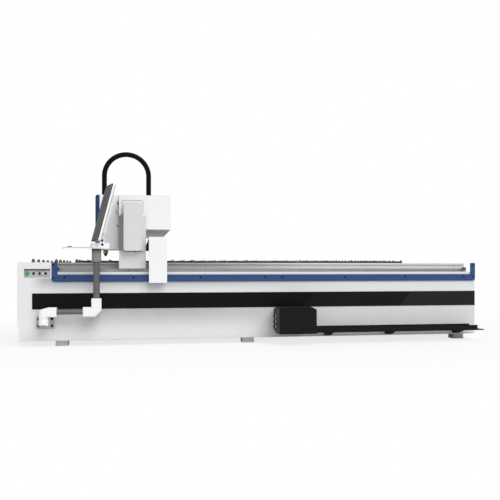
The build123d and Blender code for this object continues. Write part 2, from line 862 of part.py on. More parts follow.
def guide_blocks():
    """Runner blocks on the rails, two at each end of the gantry."""
    channel = RAIL_WIDTH / 2 + SLIDE_GAP
    roof = SEAT_TOP + RAIL_HEIGHT + SLIDE_GAP
    half = BLOCK_WIDTH / 2
    low = SEAT_TOP + BLOCK_LIFT
    outline = [
        (RAIL_Y - half, low),
        (RAIL_Y - channel, low),
        (RAIL_Y - channel, roof),
        (RAIL_Y + channel, roof),
        (RAIL_Y + channel, low),
        (RAIL_Y + half, low),
        (RAIL_Y + half, FOOT_Z),
        (RAIL_Y - half, FOOT_Z),
    ]
    blocks = []
    for side in (-1, 1):
        x = GANTRY_X + side * BLOCK_SPACING / 2
        piece = along_x(outline, x - BLOCK_LENGTH / 2, x + BLOCK_LENGTH / 2)
        blocks += [piece, far(piece)]
    return group(blocks)


def near_end_plate():
    """Leg of the gantry: a slotted front plate on a channel-shaped leg that carries the beam."""
    half = FOOT_LENGTH / 2
    slot = MOTOR_COVER_WIDTH / 2 + MOTOR_SLOT_GAP
    slot_bottom = MOTOR_COVER_BOTTOM - MOTOR_SLOT_GAP
    left = GANTRY_X - half
    right = GANTRY_X + half
    corner = half - slot
    front = [
        (left, END_PLATE_BOTTOM),
        (right, END_PLATE_BOTTOM),
        (right, END_PLATE_TOP - END_PLATE_CORNER),
        (right - corner, END_PLATE_TOP),
        (GANTRY_X + slot, slot_bottom + MOTOR_COVER_CORNER),
        (GANTRY_X + slot - MOTOR_COVER_CORNER, slot_bottom),
        (GANTRY_X - slot + MOTOR_COVER_CORNER, slot_bottom),
        (GANTRY_X - slot, slot_bottom + MOTOR_COVER_CORNER),
        (left + corner, END_PLATE_TOP),
        (left, END_PLATE_TOP - END_PLATE_CORNER),
    ]
    leg = along_y(front, END_PLATE_Y, FLANGE_Y)
    leg += block(left, right, FLANGE_Y, LEG_BACK, FOOT_Z, FOOT_Z + FOOT_PLATE)
    for x0, x1 in ((left, left + LEG_WALL), (right - LEG_WALL, right)):
        leg += block(x0, x1, FLANGE_Y, LEG_BACK, FOOT_Z + FOOT_PLATE, BEAM_BOTTOM_Z)
    leg += block(left, right, LEG_BACK - LEG_WALL, LEG_BACK, FOOT_Z + FOOT_PLATE, BEAM_BOTTOM_Z)
    leg += block(left, right, BEAM_END_Y, LEG_BACK, BEAM_BOTTOM_Z - FOOT_PLATE, BEAM_BOTTOM_Z)
    shaft = (GANTRY_X, PINION_Y, FOOT_Z - 1)
    return leg - rod(SHAFT_HOLE, shaft, (GANTRY_X, PINION_Y, FOOT_Z + FOOT_PLATE + 1))


def gantry_beam():
    """Box beam with a rounded flange and a hand hole at each end."""
    half = FOOT_LENGTH / 2
    far_end = BED_WIDTH - BEAM_END_Y
    left = GANTRY_X - half
    right = GANTRY_X + half
    wall = BEAM_WALL
    beam = block(left, right, BEAM_END_Y, far_end, BEAM_BOTTOM_Z, BEAM_TOP_Z)
    beam -= block(
        left + wall, right - wall, BEAM_END_Y + wall, far_end - wall, BEAM_BOTTOM_Z + wall, BEAM_TOP_Z - wall
    )
    flange_half = FLANGE_WIDTH / 2
    flange = rounded_block(
        GANTRY_X - flange_half,
        GANTRY_X + flange_half,
        FLANGE_Y,
        BEAM_END_Y,
        BEAM_BOTTOM_Z,
        FLANGE_TOP,
        FLANGE_CORNER,
        Axis.Y,
    )
    hole_half = flange_half * 0.6
    hole_low = BEAM_BOTTOM_Z + 55
    hole_top = MOTOR_COVER_TOP - 30
    hole = block(
        GANTRY_X - hole_half, GANTRY_X + hole_half, 0, BED_WIDTH, hole_low, hole_top
    )
    return beam + flange + far(flange) - hole


def near_motor_cover():
    """Drawn cover over one gantry motor, open at the back."""
    half = MOTOR_COVER_WIDTH / 2
    front = -MOTOR_COVER_REACH
    back = FLANGE_Y
    low = MOTOR_COVER_BOTTOM
    top = MOTOR_COVER_TOP
    corner = MOTOR_COVER_CORNER
    body = rounded_block(GANTRY_X - half, GANTRY_X + half, front, back, low, top, corner, Axis.Y)
    rim = body.faces().sort_by(Axis.Y)[0].edges()
    body = fillet(rim, MOTOR_COVER_EDGE)
    inner = half - SHEET
    hollow = rounded_block(
        GANTRY_X - inner, GANTRY_X + inner, front + SHEET, back + 1, low + SHEET, top - SHEET, corner - SHEET, Axis.Y
    )
    hollow = fillet(hollow.faces().sort_by(Axis.Y)[0].edges(), MOTOR_COVER_EDGE - SHEET)
    return body - hollow


def drive_motors():
    """Upright servo motor on a round gearbox, one at each end of the gantry."""
    low = FOOT_Z + FOOT_PLATE
    joint = low + GEARBOX_HEIGHT
    motor_near = PINION_Y - MOTOR_SIZE / 2
    half = MOTOR_SIZE / 2
    motor = rounded_block(
        GANTRY_X - half, GANTRY_X + half, motor_near, motor_near + MOTOR_SIZE, joint, joint + MOTOR_HEIGHT, 8, Axis.Z
    )
    motor += rod(GEARBOX_RADIUS, (GANTRY_X, PINION_Y, low), (GANTRY_X, PINION_Y, joint))
    bore = rod(SHAFT_RADIUS + SCREW_GAP, (GANTRY_X, PINION_Y, low - 1), (GANTRY_X, PINION_Y, low + 40))
    return both_sides(motor - bore)


def pinion(y):
    """Drive pinion on its shaft, drawn to its pitch circle."""
    low = BEAM_TOP + PINION_LIFT
    gear = rod(PINION_RADIUS - PINION_GAP, (GANTRY_X, y, low), (GANTRY_X, y, low + PINION_HEIGHT))
    shaft_top = FOOT_Z + FOOT_PLATE + 39
    return gear + rod(SHAFT_RADIUS, (GANTRY_X, y, low + PINION_HEIGHT), (GANTRY_X, y, shaft_top))


def drive_cover():
    """White sheet cover that hangs outside the rail cover, open at the back and below."""
    x0 = GANTRY_X + DRIVE_COVER_START
    x1 = x0 + DRIVE_COVER_WIDTH
    front = -DRIVE_COVER_REACH
    back = END_PLATE_Y
    bend = DRIVE_COVER_BEND
    skirt = front + DRIVE_COVER_SKIRT
    side = [
        (front, DRIVE_COVER_BOTTOM),
        (skirt, DRIVE_COVER_BOTTOM),
        (skirt, bend),
        (back, bend + back - skirt),
        (back, DRIVE_COVER_TOP),
        (front, DRIVE_COVER_TOP),
    ]
    inner = [
        (front + SHEET, DRIVE_COVER_BOTTOM - 1),
        (skirt + 1, DRIVE_COVER_BOTTOM - 1),
        (skirt + 1, bend),
        (back + 1, bend + back - skirt),
        (back + 1, DRIVE_COVER_TOP - SHEET),
        (front + SHEET, DRIVE_COVER_TOP - SHEET),
    ]
    return along_x(side, x0, x1) - along_x(inner, x0 + SHEET, x1 - SHEET)


def cover_bracket():
    """Black bracket plate with a slanted corner, from the leg to the hanging cover."""
    x0 = GANTRY_X + FOOT_LENGTH / 2
    x1 = GANTRY_X + DRIVE_COVER_START + DRIVE_COVER_WIDTH - SHEET
    slant_x = GANTRY_X + DRIVE_COVER_START
    outline = [
        (x0, BRACE_BOTTOM),
        (x1, BRACE_BOTTOM),
        (x1, BRACE_TOP),
        (slant_x, BRACE_TOP),
        (x0, BRACE_TOP - BRACE_SLANT),
    ]
    return along_y(outline, END_PLATE_Y, END_PLATE_Y + BRACE_PLATE)


def cable_trough():
    """Open trough behind the beam for the cross cable chain, with closed ends."""
    x0 = REAR_X
    x1 = REAR_X + TROUGH_WIDTH
    far_end = BED_WIDTH - BEAM_END_Y
    body = block(x0, x1, BEAM_END_Y, far_end, TROUGH_BOTTOM, BEAM_TOP_Z)
    hollow = block(
        x0 + SHEET, x1 - SHEET, BEAM_END_Y + SHEET, far_end - SHEET, TROUGH_BOTTOM + SHEET, BEAM_TOP_Z + 1
    )
    return body - hollow


def beam_rails():
    """Two rails along the front face of the gantry beam."""
    rails = []
    section = rail_outline(FACE_RAIL_WIDTH / 2, 0, FACE_RAIL_DEPTH, 2)
    y0 = BEAM_END_Y + FACE_RAIL_MARGIN
    y1 = BED_WIDTH - y0
    for z in (FACE_RAIL_LOW, FACE_RAIL_HIGH):
        rails.append(along_y([(FACE_X - depth, z + across) for across, depth in section], y0, y1))
    return group(rails)


def beam_rack():
    """Rack bar between the beam rails, drawn to its pitch line."""
    y0 = BEAM_END_Y + FACE_RAIL_MARGIN
    return block(
        FACE_X - FACE_RACK_DEPTH, FACE_X, y0, BED_WIDTH - y0, FACE_RACK_Z, FACE_RACK_Z + FACE_RACK_HEIGHT
    )


# Carriage

def carriage_blocks():
    """Runner blocks of the carriage, two on each beam rail."""
    blocks = []
    channel = FACE_RAIL_WIDTH / 2 + SLIDE_GAP
    half = FACE_BLOCK_WIDTH / 2
    near_x = FACE_X - FACE_BLOCK_LIFT
    far_x = FACE_X - FACE_BLOCK_DEPTH
    roof = FACE_X - FACE_RAIL_DEPTH - SLIDE_GAP
    spread = HEAD_COVER_WIDTH / 2 - SHEET - FACE_BLOCK_LENGTH / 2 - FACE_BLOCK_INSET
    for z in (FACE_RAIL_LOW, FACE_RAIL_HIGH):
        outline = [
            (near_x, z - half),
            (near_x, z - channel),
            (roof, z - channel),
            (roof, z + channel),
            (near_x, z + channel),
            (near_x, z + half),
            (far_x, z + half),
            (far_x, z - half),
        ]
        for y in (HEAD_Y - spread, HEAD_Y + spread):
            blocks.append(along_y(outline, y - FACE_BLOCK_LENGTH / 2, y + FACE_BLOCK_LENGTH / 2))
    return group(blocks)


def carriage_plate():
    """Carriage plate with two upright slide ribs and the bearings of the lift screw."""
    half = HEAD_COVER_WIDTH / 2 - SHEET
    back = PLATE_X + CARRIAGE_PLATE
    plate = block(PLATE_X, back, HEAD_Y - half, HEAD_Y + half, CARRIAGE_BOTTOM, CARRIER_Z)
    rib_low = CARRIAGE_BOTTOM + 10
    rib_top = rib_low + LIFT_RIB_LENGTH
    for side in (-1, 1):
        y = HEAD_Y + side * LIFT_RIB_SPACING / 2
        plate += block(PLATE_X - LIFT_RIB_DEPTH, PLATE_X, y - LIFT_RIB / 2, y + LIFT_RIB / 2, rib_low, rib_top)
    bearing_half = BEARING_WIDTH / 2
    for z in (rib_low, rib_top):
        plate += block(
            SCREW_X - bearing_half, PLATE_X, HEAD_Y - bearing_half, HEAD_Y + bearing_half, z, z + BEARING_HEIGHT
        )
    plate -= rod(SCREW_RADIUS + SCREW_GAP, (SCREW_X, HEAD_Y, rib_low - 1), (SCREW_X, HEAD_Y, rib_top + 60))
    y = HEAD_Y + TRAVERSE_Y
    z = FACE_RACK_Z - TRAVERSE_PINION
    return plate - rod(TRAVERSE_PINION + 3, (PLATE_X - 1, y, z), (back + 1, y, z))


def axis_motors():
    """Servo motors of the carriage: one drives the traverse pinion, one the lift screw."""
    y = HEAD_Y + TRAVERSE_Y
    z = FACE_RACK_Z - TRAVERSE_PINION
    half = TRAVERSE_MOTOR / 2
    front = PLATE_X - TRAVERSE_MOTOR_LENGTH
    traverse = rounded_block(front, PLATE_X, y - half, y + half, z - half, z + half, 6, Axis.X)
    traverse -= rod(SHAFT_RADIUS + SCREW_GAP, (PLATE_X - 31, y, z), (PLATE_X + 1, y, z))
    low = CARRIAGE_BOTTOM + 10 + LIFT_RIB_LENGTH + BEARING_HEIGHT
    lift_half = LIFT_MOTOR / 2
    lift = rounded_block(
        PLATE_X - LIFT_MOTOR,
        PLATE_X,
        HEAD_Y - lift_half,
        HEAD_Y + lift_half,
        low,
        low + LIFT_MOTOR_HEIGHT,
        5,
        Axis.Z,
    )
    lift -= rod(SCREW_RADIUS + SCREW_GAP, (SCREW_X, HEAD_Y, low - 1), (SCREW_X, HEAD_Y, low + 26))
    return group([traverse, lift])


def traverse_pinion():
    """Pinion of the traverse drive on its shaft, drawn to its pitch circle."""
    y = HEAD_Y + TRAVERSE_Y
    z = FACE_RACK_Z - TRAVERSE_PINION
    back = FACE_X - 4
    gear = rod(TRAVERSE_PINION - PINION_GAP, (back - TRAVERSE_FACE, y, z), (back, y, z))
    return gear + rod(SHAFT_RADIUS, (PLATE_X - 30, y, z), (back - TRAVERSE_FACE, y, z))


def lift_screw():
    """Ball screw of the lift, from the lower bearing into its motor."""
    low = CARRIAGE_BOTTOM + 12
    top = CARRIAGE_BOTTOM + 10 + LIFT_RIB_LENGTH + BEARING_HEIGHT + 25
    return rod(SCREW_RADIUS, (SCREW_X, HEAD_Y, low), (SCREW_X, HEAD_Y, top))


def head_cover():
    """White sheet cover of the head, open below, in front and behind, notched for the rails."""
    half = HEAD_COVER_WIDTH / 2
    x1 = FACE_X - HEAD_COVER_GAP
    line = [
        (HEAD_Y - half, HEAD_COVER_BOTTOM),
        (HEAD_Y - half, HEAD_COVER_TOP),
        (HEAD_Y + half, HEAD_COVER_TOP),
        (HEAD_Y + half, HEAD_COVER_BOTTOM),
    ]
    cover = along_x(folded(line[::-1], SHEET), NOSE_X, x1)
    rail_half = FACE_RAIL_WIDTH / 2
    spans = [
        (FACE_RAIL_LOW - rail_half, FACE_RAIL_LOW + rail_half, FACE_RAIL_DEPTH),
        (FACE_RAIL_HIGH - rail_half, FACE_RAIL_HIGH + rail_half, FACE_RAIL_DEPTH),
        (FACE_RACK_Z, FACE_RACK_Z + FACE_RACK_HEIGHT, FACE_RACK_DEPTH),
    ]
    for low, top, depth in spans:
        notch_x = FACE_X - depth - NOTCH_GAP
        cover -= block(notch_x, FACE_X, 0, BED_WIDTH, low - NOTCH_GAP, top + NOTCH_GAP)
    arch_x = GANTRY_X - ARCH_LEFT
    hole = rod(ARCH_RADIUS + GLAND_GAP, (arch_x, HEAD_Y, HEAD_COVER_TOP - 10), (arch_x, HEAD_Y, HEAD_COVER_TOP + 10))
    return cover - hole


def head_front_cover():
    """Blue moulded front of the head, rounded at the top and down the sides, open at the back."""
    half = HEAD_COVER_WIDTH / 2
    x0 = NOSE_X - NOSE_DEPTH
    low = HEAD_COVER_BOTTOM
    top = HEAD_COVER_TOP
    body = block(x0, NOSE_X, HEAD_Y - half, HEAD_Y + half, low, top)
    front = body.faces().sort_by(Axis.X)[0].edges()
    body = fillet(front, NOSE_ROUND)
    inner = half - SHEET
    hollow = block(x0 + SHEET, NOSE_X + 1, HEAD_Y - inner, HEAD_Y + inner, low + SHEET, top - SHEET)
    hollow = fillet(hollow.faces().sort_by(Axis.X)[0].edges(), NOSE_ROUND - SHEET)
    return body - hollow


def cable_arch():
    """Stiff formed conduit: up out of the head cover, over, and down behind the beam."""
    left_x = GANTRY_X - ARCH_LEFT
    right_x = GANTRY_X + ARCH_RIGHT
    radius = (right_x - left_x) / 2
    low = HEAD_COVER_TOP - ARCH_TAIL
    section = Plane(origin=(left_x, HEAD_Y, ARCH_SPRING), z_dir=(0, 0, 1)) * Circle(ARCH_RADIUS)
    hoop = revolve(section, axis=Axis((left_x + radius, HEAD_Y, ARCH_SPRING), (0, 1, 0)), revolution_arc=180)
    arch = hoop + rod(ARCH_RADIUS, (left_x, HEAD_Y, low), (left_x, HEAD_Y, ARCH_SPRING))
    return arch + rod(ARCH_RADIUS, (right_x, HEAD_Y, low), (right_x, HEAD_Y, ARCH_SPRING))


def cable_carrier():
    """Plate over the beam that carries the far foot of the arch, and the gland on the head cover."""
    half = CARRIER_WIDTH / 2
    right_x = GANTRY_X + ARCH_RIGHT
    x1 = right_x + half
    low = CARRIER_Z
    top = low + CARRIER_THICKNESS
    plate = block(PLATE_X, x1, HEAD_Y - half, HEAD_Y + half, low, top)
    plate += block(x1 - CARRIER_THICKNESS, x1, HEAD_Y - half, HEAD_Y + half, low - CARRIER_TAIL, low)
    inner = ARCH_RADIUS + GLAND_GAP
    plate -= rod(inner, (right_x, HEAD_Y, low - 1), (right_x, HEAD_Y, top + 1))
    ring_top = top + GLAND_HEIGHT
    outline = [(inner, top), (inner + GLAND_WIDTH, top), (inner + GLAND_WIDTH * 0.5, ring_top), (inner, ring_top)]
    plate += turned(outline, right_x, HEAD_Y)
    seat = HEAD_COVER_TOP
    outline = [(r, seat + z - top) for r, z in outline]
    return group([plate, turned(outline, GANTRY_X - ARCH_LEFT, HEAD_Y)])


# Cutting head

def lift_plate():
    """Plate that slides on the ribs, with four runners and the nut of the screw."""
    half = LIFT_PLATE_WIDTH / 2
    plate = block(LIFT_X - LIFT_PLATE, LIFT_X, HEAD_Y - half, HEAD_Y + half, LIFT_PLATE_BOTTOM, LIFT_PLATE_TOP)
    rib_half = LIFT_RIB / 2 + SLIDE_GAP
    outer = rib_half + RUNNER_WALL
    reach = PLATE_X - 2
    roof = PLATE_X - LIFT_RIB_DEPTH - SLIDE_GAP
    for z in (LIFT_PLATE_BOTTOM, LIFT_PLATE_TOP - RUNNER_LENGTH):
        for side in (-1, 1):
            y = HEAD_Y + side * LIFT_RIB_SPACING / 2
            runner = block(LIFT_X, reach, y - outer, y + outer, z, z + RUNNER_LENGTH)
            runner -= block(roof, PLATE_X, y - rib_half, y + rib_half, z - 1, z + RUNNER_LENGTH + 1)
            plate += runner
    nut_z = (LIFT_PLATE_BOTTOM + LIFT_PLATE_TOP - NUT_HEIGHT) / 2
    nut_half = BEARING_WIDTH / 2
    nut = block(LIFT_X, reach, HEAD_Y - nut_half, HEAD_Y + nut_half, nut_z, nut_z + NUT_HEIGHT)
    nut -= rod(SCREW_RADIUS + SCREW_GAP, (SCREW_X, HEAD_Y, nut_z - 1), (SCREW_X, HEAD_Y, nut_z + NUT_HEIGHT + 1))
    return plate + nut


def cutting_head():
    """Optical head: stacked square modules with grooves between them, over a cone."""
    half = MODULE_SIZE / 2
    grooves = (0.28, 0.52, 0.78)
    height = MODULE_TOP - MODULE_BOTTOM
    body = rounded_block(
        AXIS_X - half, AXIS_X + half, HEAD_Y - half, HEAD_Y + half, MODULE_BOTTOM, MODULE_TOP, 10, Axis.Z
    )
    slim = half - MODULE_GROOVE
    for share in grooves:
        z = MODULE_BOTTOM + share * height
        ring = block(AXIS_X - half - 1, AXIS_X + half + 1, HEAD_Y - half - 1, HEAD_Y + half + 1, z, z + MODULE_GROOVE)
        core = block(AXIS_X - slim, AXIS_X + slim, HEAD_Y - slim, HEAD_Y + slim, z, z + MODULE_GROOVE)
        body -= ring - core
    cone = [
        (NOZZLE_BORE, NOZZLE_SEAT),
        (CONE_BOTTOM, NOZZLE_SEAT),
        (CONE_TOP, MODULE_BOTTOM - 30),
        (CONE_TOP, MODULE_BOTTOM),
        (NOZZLE_BORE, MODULE_BOTTOM),
    ]
    body += turned(cone, AXIS_X, HEAD_Y)
    link = LIFT_X - LIFT_PLATE
    clamp_half = half * 0.7
    for z in (MODULE_BOTTOM + 50, MODULE_TOP - 90):
        body += block(AXIS_X + half, link, HEAD_Y - clamp_half, HEAD_Y + clamp_half, z, z + 40)
    return body


def nozzle():
    """Brass nozzle: a straight shoulder, a rounded taper and a fine bore."""
    shoulder = CONE_BOTTOM
    line = Polyline((NOZZLE_BORE, 0, NOZZLE_SEAT), (shoulder, 0, NOZZLE_SEAT), (shoulder, 0, NOZZLE_SHOULDER))
    taper = ThreePointArc(
        (shoulder, 0, NOZZLE_SHOULDER),
        (shoulder * 0.78, 0, NOZZLE_SHOULDER - (NOZZLE_SHOULDER - NOZZLE_TIP) * 0.62),
        (NOZZLE_TIP_RADIUS, 0, NOZZLE_TIP),
    )
    bore = Polyline((NOZZLE_TIP_RADIUS, 0, NOZZLE_TIP), (NOZZLE_BORE, 0, NOZZLE_TIP), (NOZZLE_BORE, 0, NOZZLE_SEAT))
    return Pos(AXIS_X, HEAD_Y, 0) * revolve(make_face(line + taper + bore), axis=Axis.Z)


# Operator arm

def arm_flange():
    """Flange plate on the side panel, with its four bolt holes."""
    half_x = FLANGE_PLATE[0] / 2
    half_z = FLANGE_PLATE[1] / 2
    plate = rounded_block(
        BASE_X - half_x,
        BASE_X + half_x,
        -FLANGE_THICKNESS,
        0,
        FLANGE_MIDDLE_Z - half_z,
        FLANGE_MIDDLE_Z + half_z,
        6,
        Axis.Y,
    )
    for side_x in (-1, 1):
        for side_z in (-1, 1):
            x = BASE_X + side_x * FLANGE_BOLTS[0] / 2
            z = FLANGE_MIDDLE_Z + side_z * FLANGE_BOLTS[1] / 2
            plate -= rod(FLANGE_BOLT_RADIUS, (x, -FLANGE_THICKNESS - 1, z), (x, 1, z))
    return plate


def arm_base():
    """Lower half of the wall joint: a nose with an arched underside and an upright pivot."""
    nose = block(
        BASE_X - JOINT_RADIUS, BASE_X + JOINT_RADIUS, -ARM_OUT, -FLANGE_THICKNESS, BASE_BOTTOM, BASE_TOP
    )
    nose += rod(JOINT_RADIUS, (BASE_X, -ARM_OUT, BASE_BOTTOM), (BASE_X, -ARM_OUT, BASE_TOP))
    arch_z = BASE_BOTTOM + BASE_ARCH_RISE - BASE_ARCH
    nose -= rod(BASE_ARCH, (BASE_X, -ARM_OUT - JOINT_RADIUS - 1, arch_z), (BASE_X, -FLANGE_THICKNESS, arch_z))
    pivot = rod(PIVOT_RADIUS, (BASE_X, -ARM_OUT, BASE_TOP), (BASE_X, -ARM_OUT, BASE_TOP + PIVOT_HEIGHT))
    return nose + pivot


def arm_elbow():
    """Upper half of the wall joint: a drum with a slanted top and a leg towards the tube."""
    low = BASE_TOP + JOINT_GAP
    drum = rod(JOINT_RADIUS, (BASE_X, -ARM_OUT, low), (BASE_X, -ARM_OUT, ELBOW_LEG_TOP))
    leg = rounded_block(
        BASE_X,
        BASE_X + ELBOW_LEG_END,
        -ARM_OUT - JOINT_RADIUS,
        -ARM_OUT + JOINT_RADIUS,
        ELBOW_LEG_BOTTOM,
        ELBOW_LEG_TOP,
        ARM_ROUND,
        Axis.X,
    )
    slant = [
        (BASE_X - JOINT_RADIUS - 1, ELBOW_LEG_TOP - ELBOW_SLANT),
        (BASE_X + JOINT_RADIUS, ELBOW_LEG_TOP),
        (BASE_X + JOINT_RADIUS, ELBOW_LEG_TOP + 1),
        (BASE_X - JOINT_RADIUS - 1, ELBOW_LEG_TOP + 1),
    ]
    wedge = along_y(slant, -ARM_OUT - JOINT_RADIUS - 1, -ARM_OUT + JOINT_RADIUS + 1)
    bore_top = BASE_TOP + PIVOT_HEIGHT + 1
    bore = rod(PIVOT_RADIUS + PIVOT_GAP, (BASE_X, -ARM_OUT, low - 1), (BASE_X, -ARM_OUT, bore_top))
    return drum + leg - wedge - bore


def arm_corner():
    """Cast corner between the level tube and the post, bevelled outside."""
    mid_y = -ARM_OUT
    left = BASE_X + CORNER_START
    inner = POST_X - CORNER_HALF
    outer = POST_X + CORNER_HALF
    outline = [
        (left, ELBOW_LEG_BOTTOM - 3),
        (outer - CORNER_BEVEL, ELBOW_LEG_BOTTOM - 3),
        (outer, ELBOW_LEG_BOTTOM - 3 + CORNER_BEVEL),
        (outer, CORNER_TOP),
        (inner, CORNER_TOP),
        (inner, ELBOW_LEG_TOP),
        (left, ELBOW_LEG_TOP),
    ]
    corner = along_y(outline, mid_y - JOINT_RADIUS, mid_y + JOINT_RADIUS)
    return chamfer(corner.faces().filter_by(Axis.Y).edges(), ARM_ROUND)


def arm_tubes():
    """Level tube and upright post of the arm, the post with the pivot of the console."""
    z = (ELBOW_LEG_BOTTOM + ELBOW_LEG_TOP) / 2
    level = rod(ARM_TUBE_RADIUS, (BASE_X + ELBOW_LEG_END, -ARM_OUT, z), (BASE_X + CORNER_START, -ARM_OUT, z))
    post = rod(POST_RADIUS, (POST_X, -ARM_OUT, CORNER_TOP), (POST_X, -ARM_OUT, POST_TOP))
    post += rod(PIVOT_RADIUS, (POST_X, -ARM_OUT, POST_TOP), (POST_X, -ARM_OUT, POST_TOP + PIVOT_HEIGHT))
    return group([level, post])


def at_console(shape):
    """Place a piece drawn about the post, facing -X, at its turned rest position."""
    return Pos(POST_X, -ARM_OUT, 0) * Rot(0, 0, CONSOLE_YAW) * shape


def swivel_sleeve():
    """Sleeve that turns on the post."""
    low = POST_TOP + JOINT_GAP
    sleeve = rod(SLEEVE_RADIUS, (0, 0, low), (0, 0, SLEEVE_TOP))
    bore_top = POST_TOP + PIVOT_HEIGHT + 1
    return at_console(sleeve - rod(PIVOT_RADIUS + PIVOT_GAP, (0, 0, low - 1), (0, 0, bore_top)))


def console_bracket():
    """Cast bracket on the sleeve, with two ears and the tilt pin between them."""
    body = rounded_block(
        -CONSOLE_FRONT, CONSOLE_BACK, -CONSOLE_HALF, CONSOLE_HALF, SLEEVE_TOP, CONSOLE_TOP, ARM_ROUND, Axis.Z
    )
    for side in (-1, 1):
        outer = side * CONSOLE_HALF
        inner = side * (CONSOLE_HALF - EAR_THICKNESS)
        near_y, far_y = sorted((outer, inner))
        ear = rod(EAR_RADIUS, (TILT_X, near_y, TILT_Z), (TILT_X, far_y, TILT_Z))
        ear += block(TILT_X - EAR_RADIUS, TILT_X + EAR_RADIUS, near_y, far_y, CONSOLE_TOP, TILT_Z)
        body += ear
    inner = CONSOLE_HALF - EAR_THICKNESS
    body += rod(TILT_PIN, (TILT_X, -inner, TILT_Z), (TILT_X, inner, TILT_Z))
    return at_console(body)


def keyboard_shelf():
    """Thin folded shelf in front of the bracket."""
    half = SHELF_WIDTH / 2
    x1 = -CONSOLE_FRONT
    x0 = x1 - SHELF_LENGTH
    line = [(x0, SHELF_Z - SHELF_LIP), (x0, SHELF_Z), (x1 - SHEET, SHELF_Z), (x1 - SHEET, SHELF_Z + 2 * SHELF_LIP)]
    shelf = along_y(folded(line, -SHEET), -half, half)
    tab = CONSOLE_HALF - ARM_ROUND
    for near_y, far_y in ((-half, -tab), (tab, half)):
        shelf -= block(x1 - 2 * SHEET, x1 + 1, near_y - 1, far_y, SHELF_Z, SHELF_Z + 3 * SHELF_LIP)
    return at_console(shelf)


def at_monitor(shape):
    """Place a piece drawn upright, front at x = 0 and foot at z = 0, at the leaning monitor."""
    return at_console(Pos(-MONITOR_FRONT, 0, MONITOR_BOTTOM) * Rot(0, MONITOR_LEAN, 0) * shape)


def monitor_frame():
    """Dark front frame of the monitor, with a seat for the screen."""
    half = MONITOR_WIDTH / 2
    frame = rounded_block(0, BEZEL_THICKNESS, -half, half, 0, MONITOR_HEIGHT, MONITOR_CORNER, Axis.X)
    inner = half - BEZEL_BORDER
    seat = block(-1, SCREEN_DEPTH, -inner, inner, BEZEL_BORDER, MONITOR_HEIGHT - BEZEL_BORDER)
    return at_monitor(frame - seat)


def monitor_screen():
    """Glass screen, flush in the frame."""
    half = MONITOR_WIDTH / 2 - BEZEL_BORDER - SCREEN_GAP
    low = BEZEL_BORDER + SCREEN_GAP
    return at_monitor(block(0, SCREEN_DEPTH, -half, half, low, MONITOR_HEIGHT - low))


def monitor_back():
    """White back of the monitor, with its electronics box and the lug on the tilt pin."""
    half = MONITOR_WIDTH / 2 - BACK_MARGIN
    back = BEZEL_THICKNESS + BACK_THICKNESS
    shell = rounded_block(
        BEZEL_THICKNESS, back, -half, half, BACK_MARGIN, MONITOR_HEIGHT - BACK_MARGIN, MONITOR_CORNER, Axis.X
    )
    box_half = BACK_BOX_WIDTH / 2
    shell += rounded_block(
        back, back + BACK_BOX_DEPTH, -box_half, box_half, BACK_BOX_BOTTOM, BACK_BOX_TOP, MONITOR_CORNER, Axis.X
    )
    shell = at_monitor(shell)
    lug_half = CONSOLE_HALF - EAR_THICKNESS - 1
    lug = rod(EAR_RADIUS - 4, (TILT_X, -lug_half, TILT_Z), (TILT_X, lug_half, TILT_Z))
    lug += block(-MONITOR_FRONT + back, TILT_X + EAR_RADIUS - 4, -lug_half, lug_half, TILT_Z, TILT_Z + 62)
    lug -= rod(TILT_PIN + PIVOT_GAP, (TILT_X, -lug_half - 1, TILT_Z), (TILT_X, lug_half + 1, TILT_Z))
    return shell + at_console(lug)


NODES = {
    "side_beams": side_beams(),
    "cross_members": cross_members(),
    "front_cover": front_cover(),
    "front_deck": front_deck(),
    "rear_cover": rear_cover(),
    "near_side_panel": near_side_panel(),
    "far_side_panel": far(side_panel_blank()),
    "side_stripes": side_stripes(),
    "near_rail_covers": near_rail_covers(),
    "far_rail_covers": far(near_rail_covers()),
    "rail_walls": rail_walls(),
    "guide_rails": guide_rails(),
    "drive_racks": drive_racks(),
    "rail_end_stops": rail_end_stops(),
    "levelling_feet": levelling_feet(),
    "slat_frame": slat_frame(),
    "slats": slats(),
    "scrap_tray": scrap_tray(),
    "ball_rollers": ball_rollers(),
    "button_panel": button_panel(),
    "green_button": push_button(0),
    "left_black_button": push_button(1),
    "middle_black_button": push_button(2),
    "right_black_button": push_button(3),
    "junction_box": junction_box(),
    "cable_tray": cable_tray(),
    "arm_flange": arm_flange(),
    "arm_base": arm_base(),
    "guide_blocks": guide_blocks(),
    "near_end_plate": near_end_plate(),
    "far_end_plate": far(near_end_plate()),
    "gantry_beam": gantry_beam(),
    "near_motor_cover": near_motor_cover(),
    "far_motor_cover": far(near_motor_cover()),
    "drive_motors": drive_motors(),
    "near_pinion": pinion(PINION_Y),
    "far_pinion": pinion(BED_WIDTH - PINION_Y),
    "drive_cover": drive_cover(),
    "cover_bracket": cover_bracket(),
    "cable_trough": cable_trough(),
    "beam_rails": beam_rails(),
    "beam_rack": beam_rack(),
    "carriage_blocks": carriage_blocks(),
    "carriage_plate": carriage_plate(),
    "axis_motors": axis_motors(),
    "traverse_pinion": traverse_pinion(),
    "lift_screw": lift_screw(),
    "head_cover": head_cover(),
    "head_front_cover": head_front_cover(),
    "cable_arch": cable_arch(),
    "cable_carrier": cable_carrier(),
    "lift_plate": lift_plate(),
    "cutting_head": cutting_head(),
    "nozzle": nozzle(),
    "arm_elbow": arm_elbow(),
    "arm_corner": arm_corner(),
    "arm_tubes": arm_tubes(),
    "console": group([swivel_sleeve(), console_bracket(), keyboard_shelf()]),
    "monitor_housing": group([monitor_frame(), monitor_back()]),
    "monitor_screen": monitor_screen(),
}

os.makedirs("parts", exist_ok=True)
for name, shape in NODES.items():
    export_step(Pos(0, NEAR_Y, 0) * shape, f"parts/{name}.step")
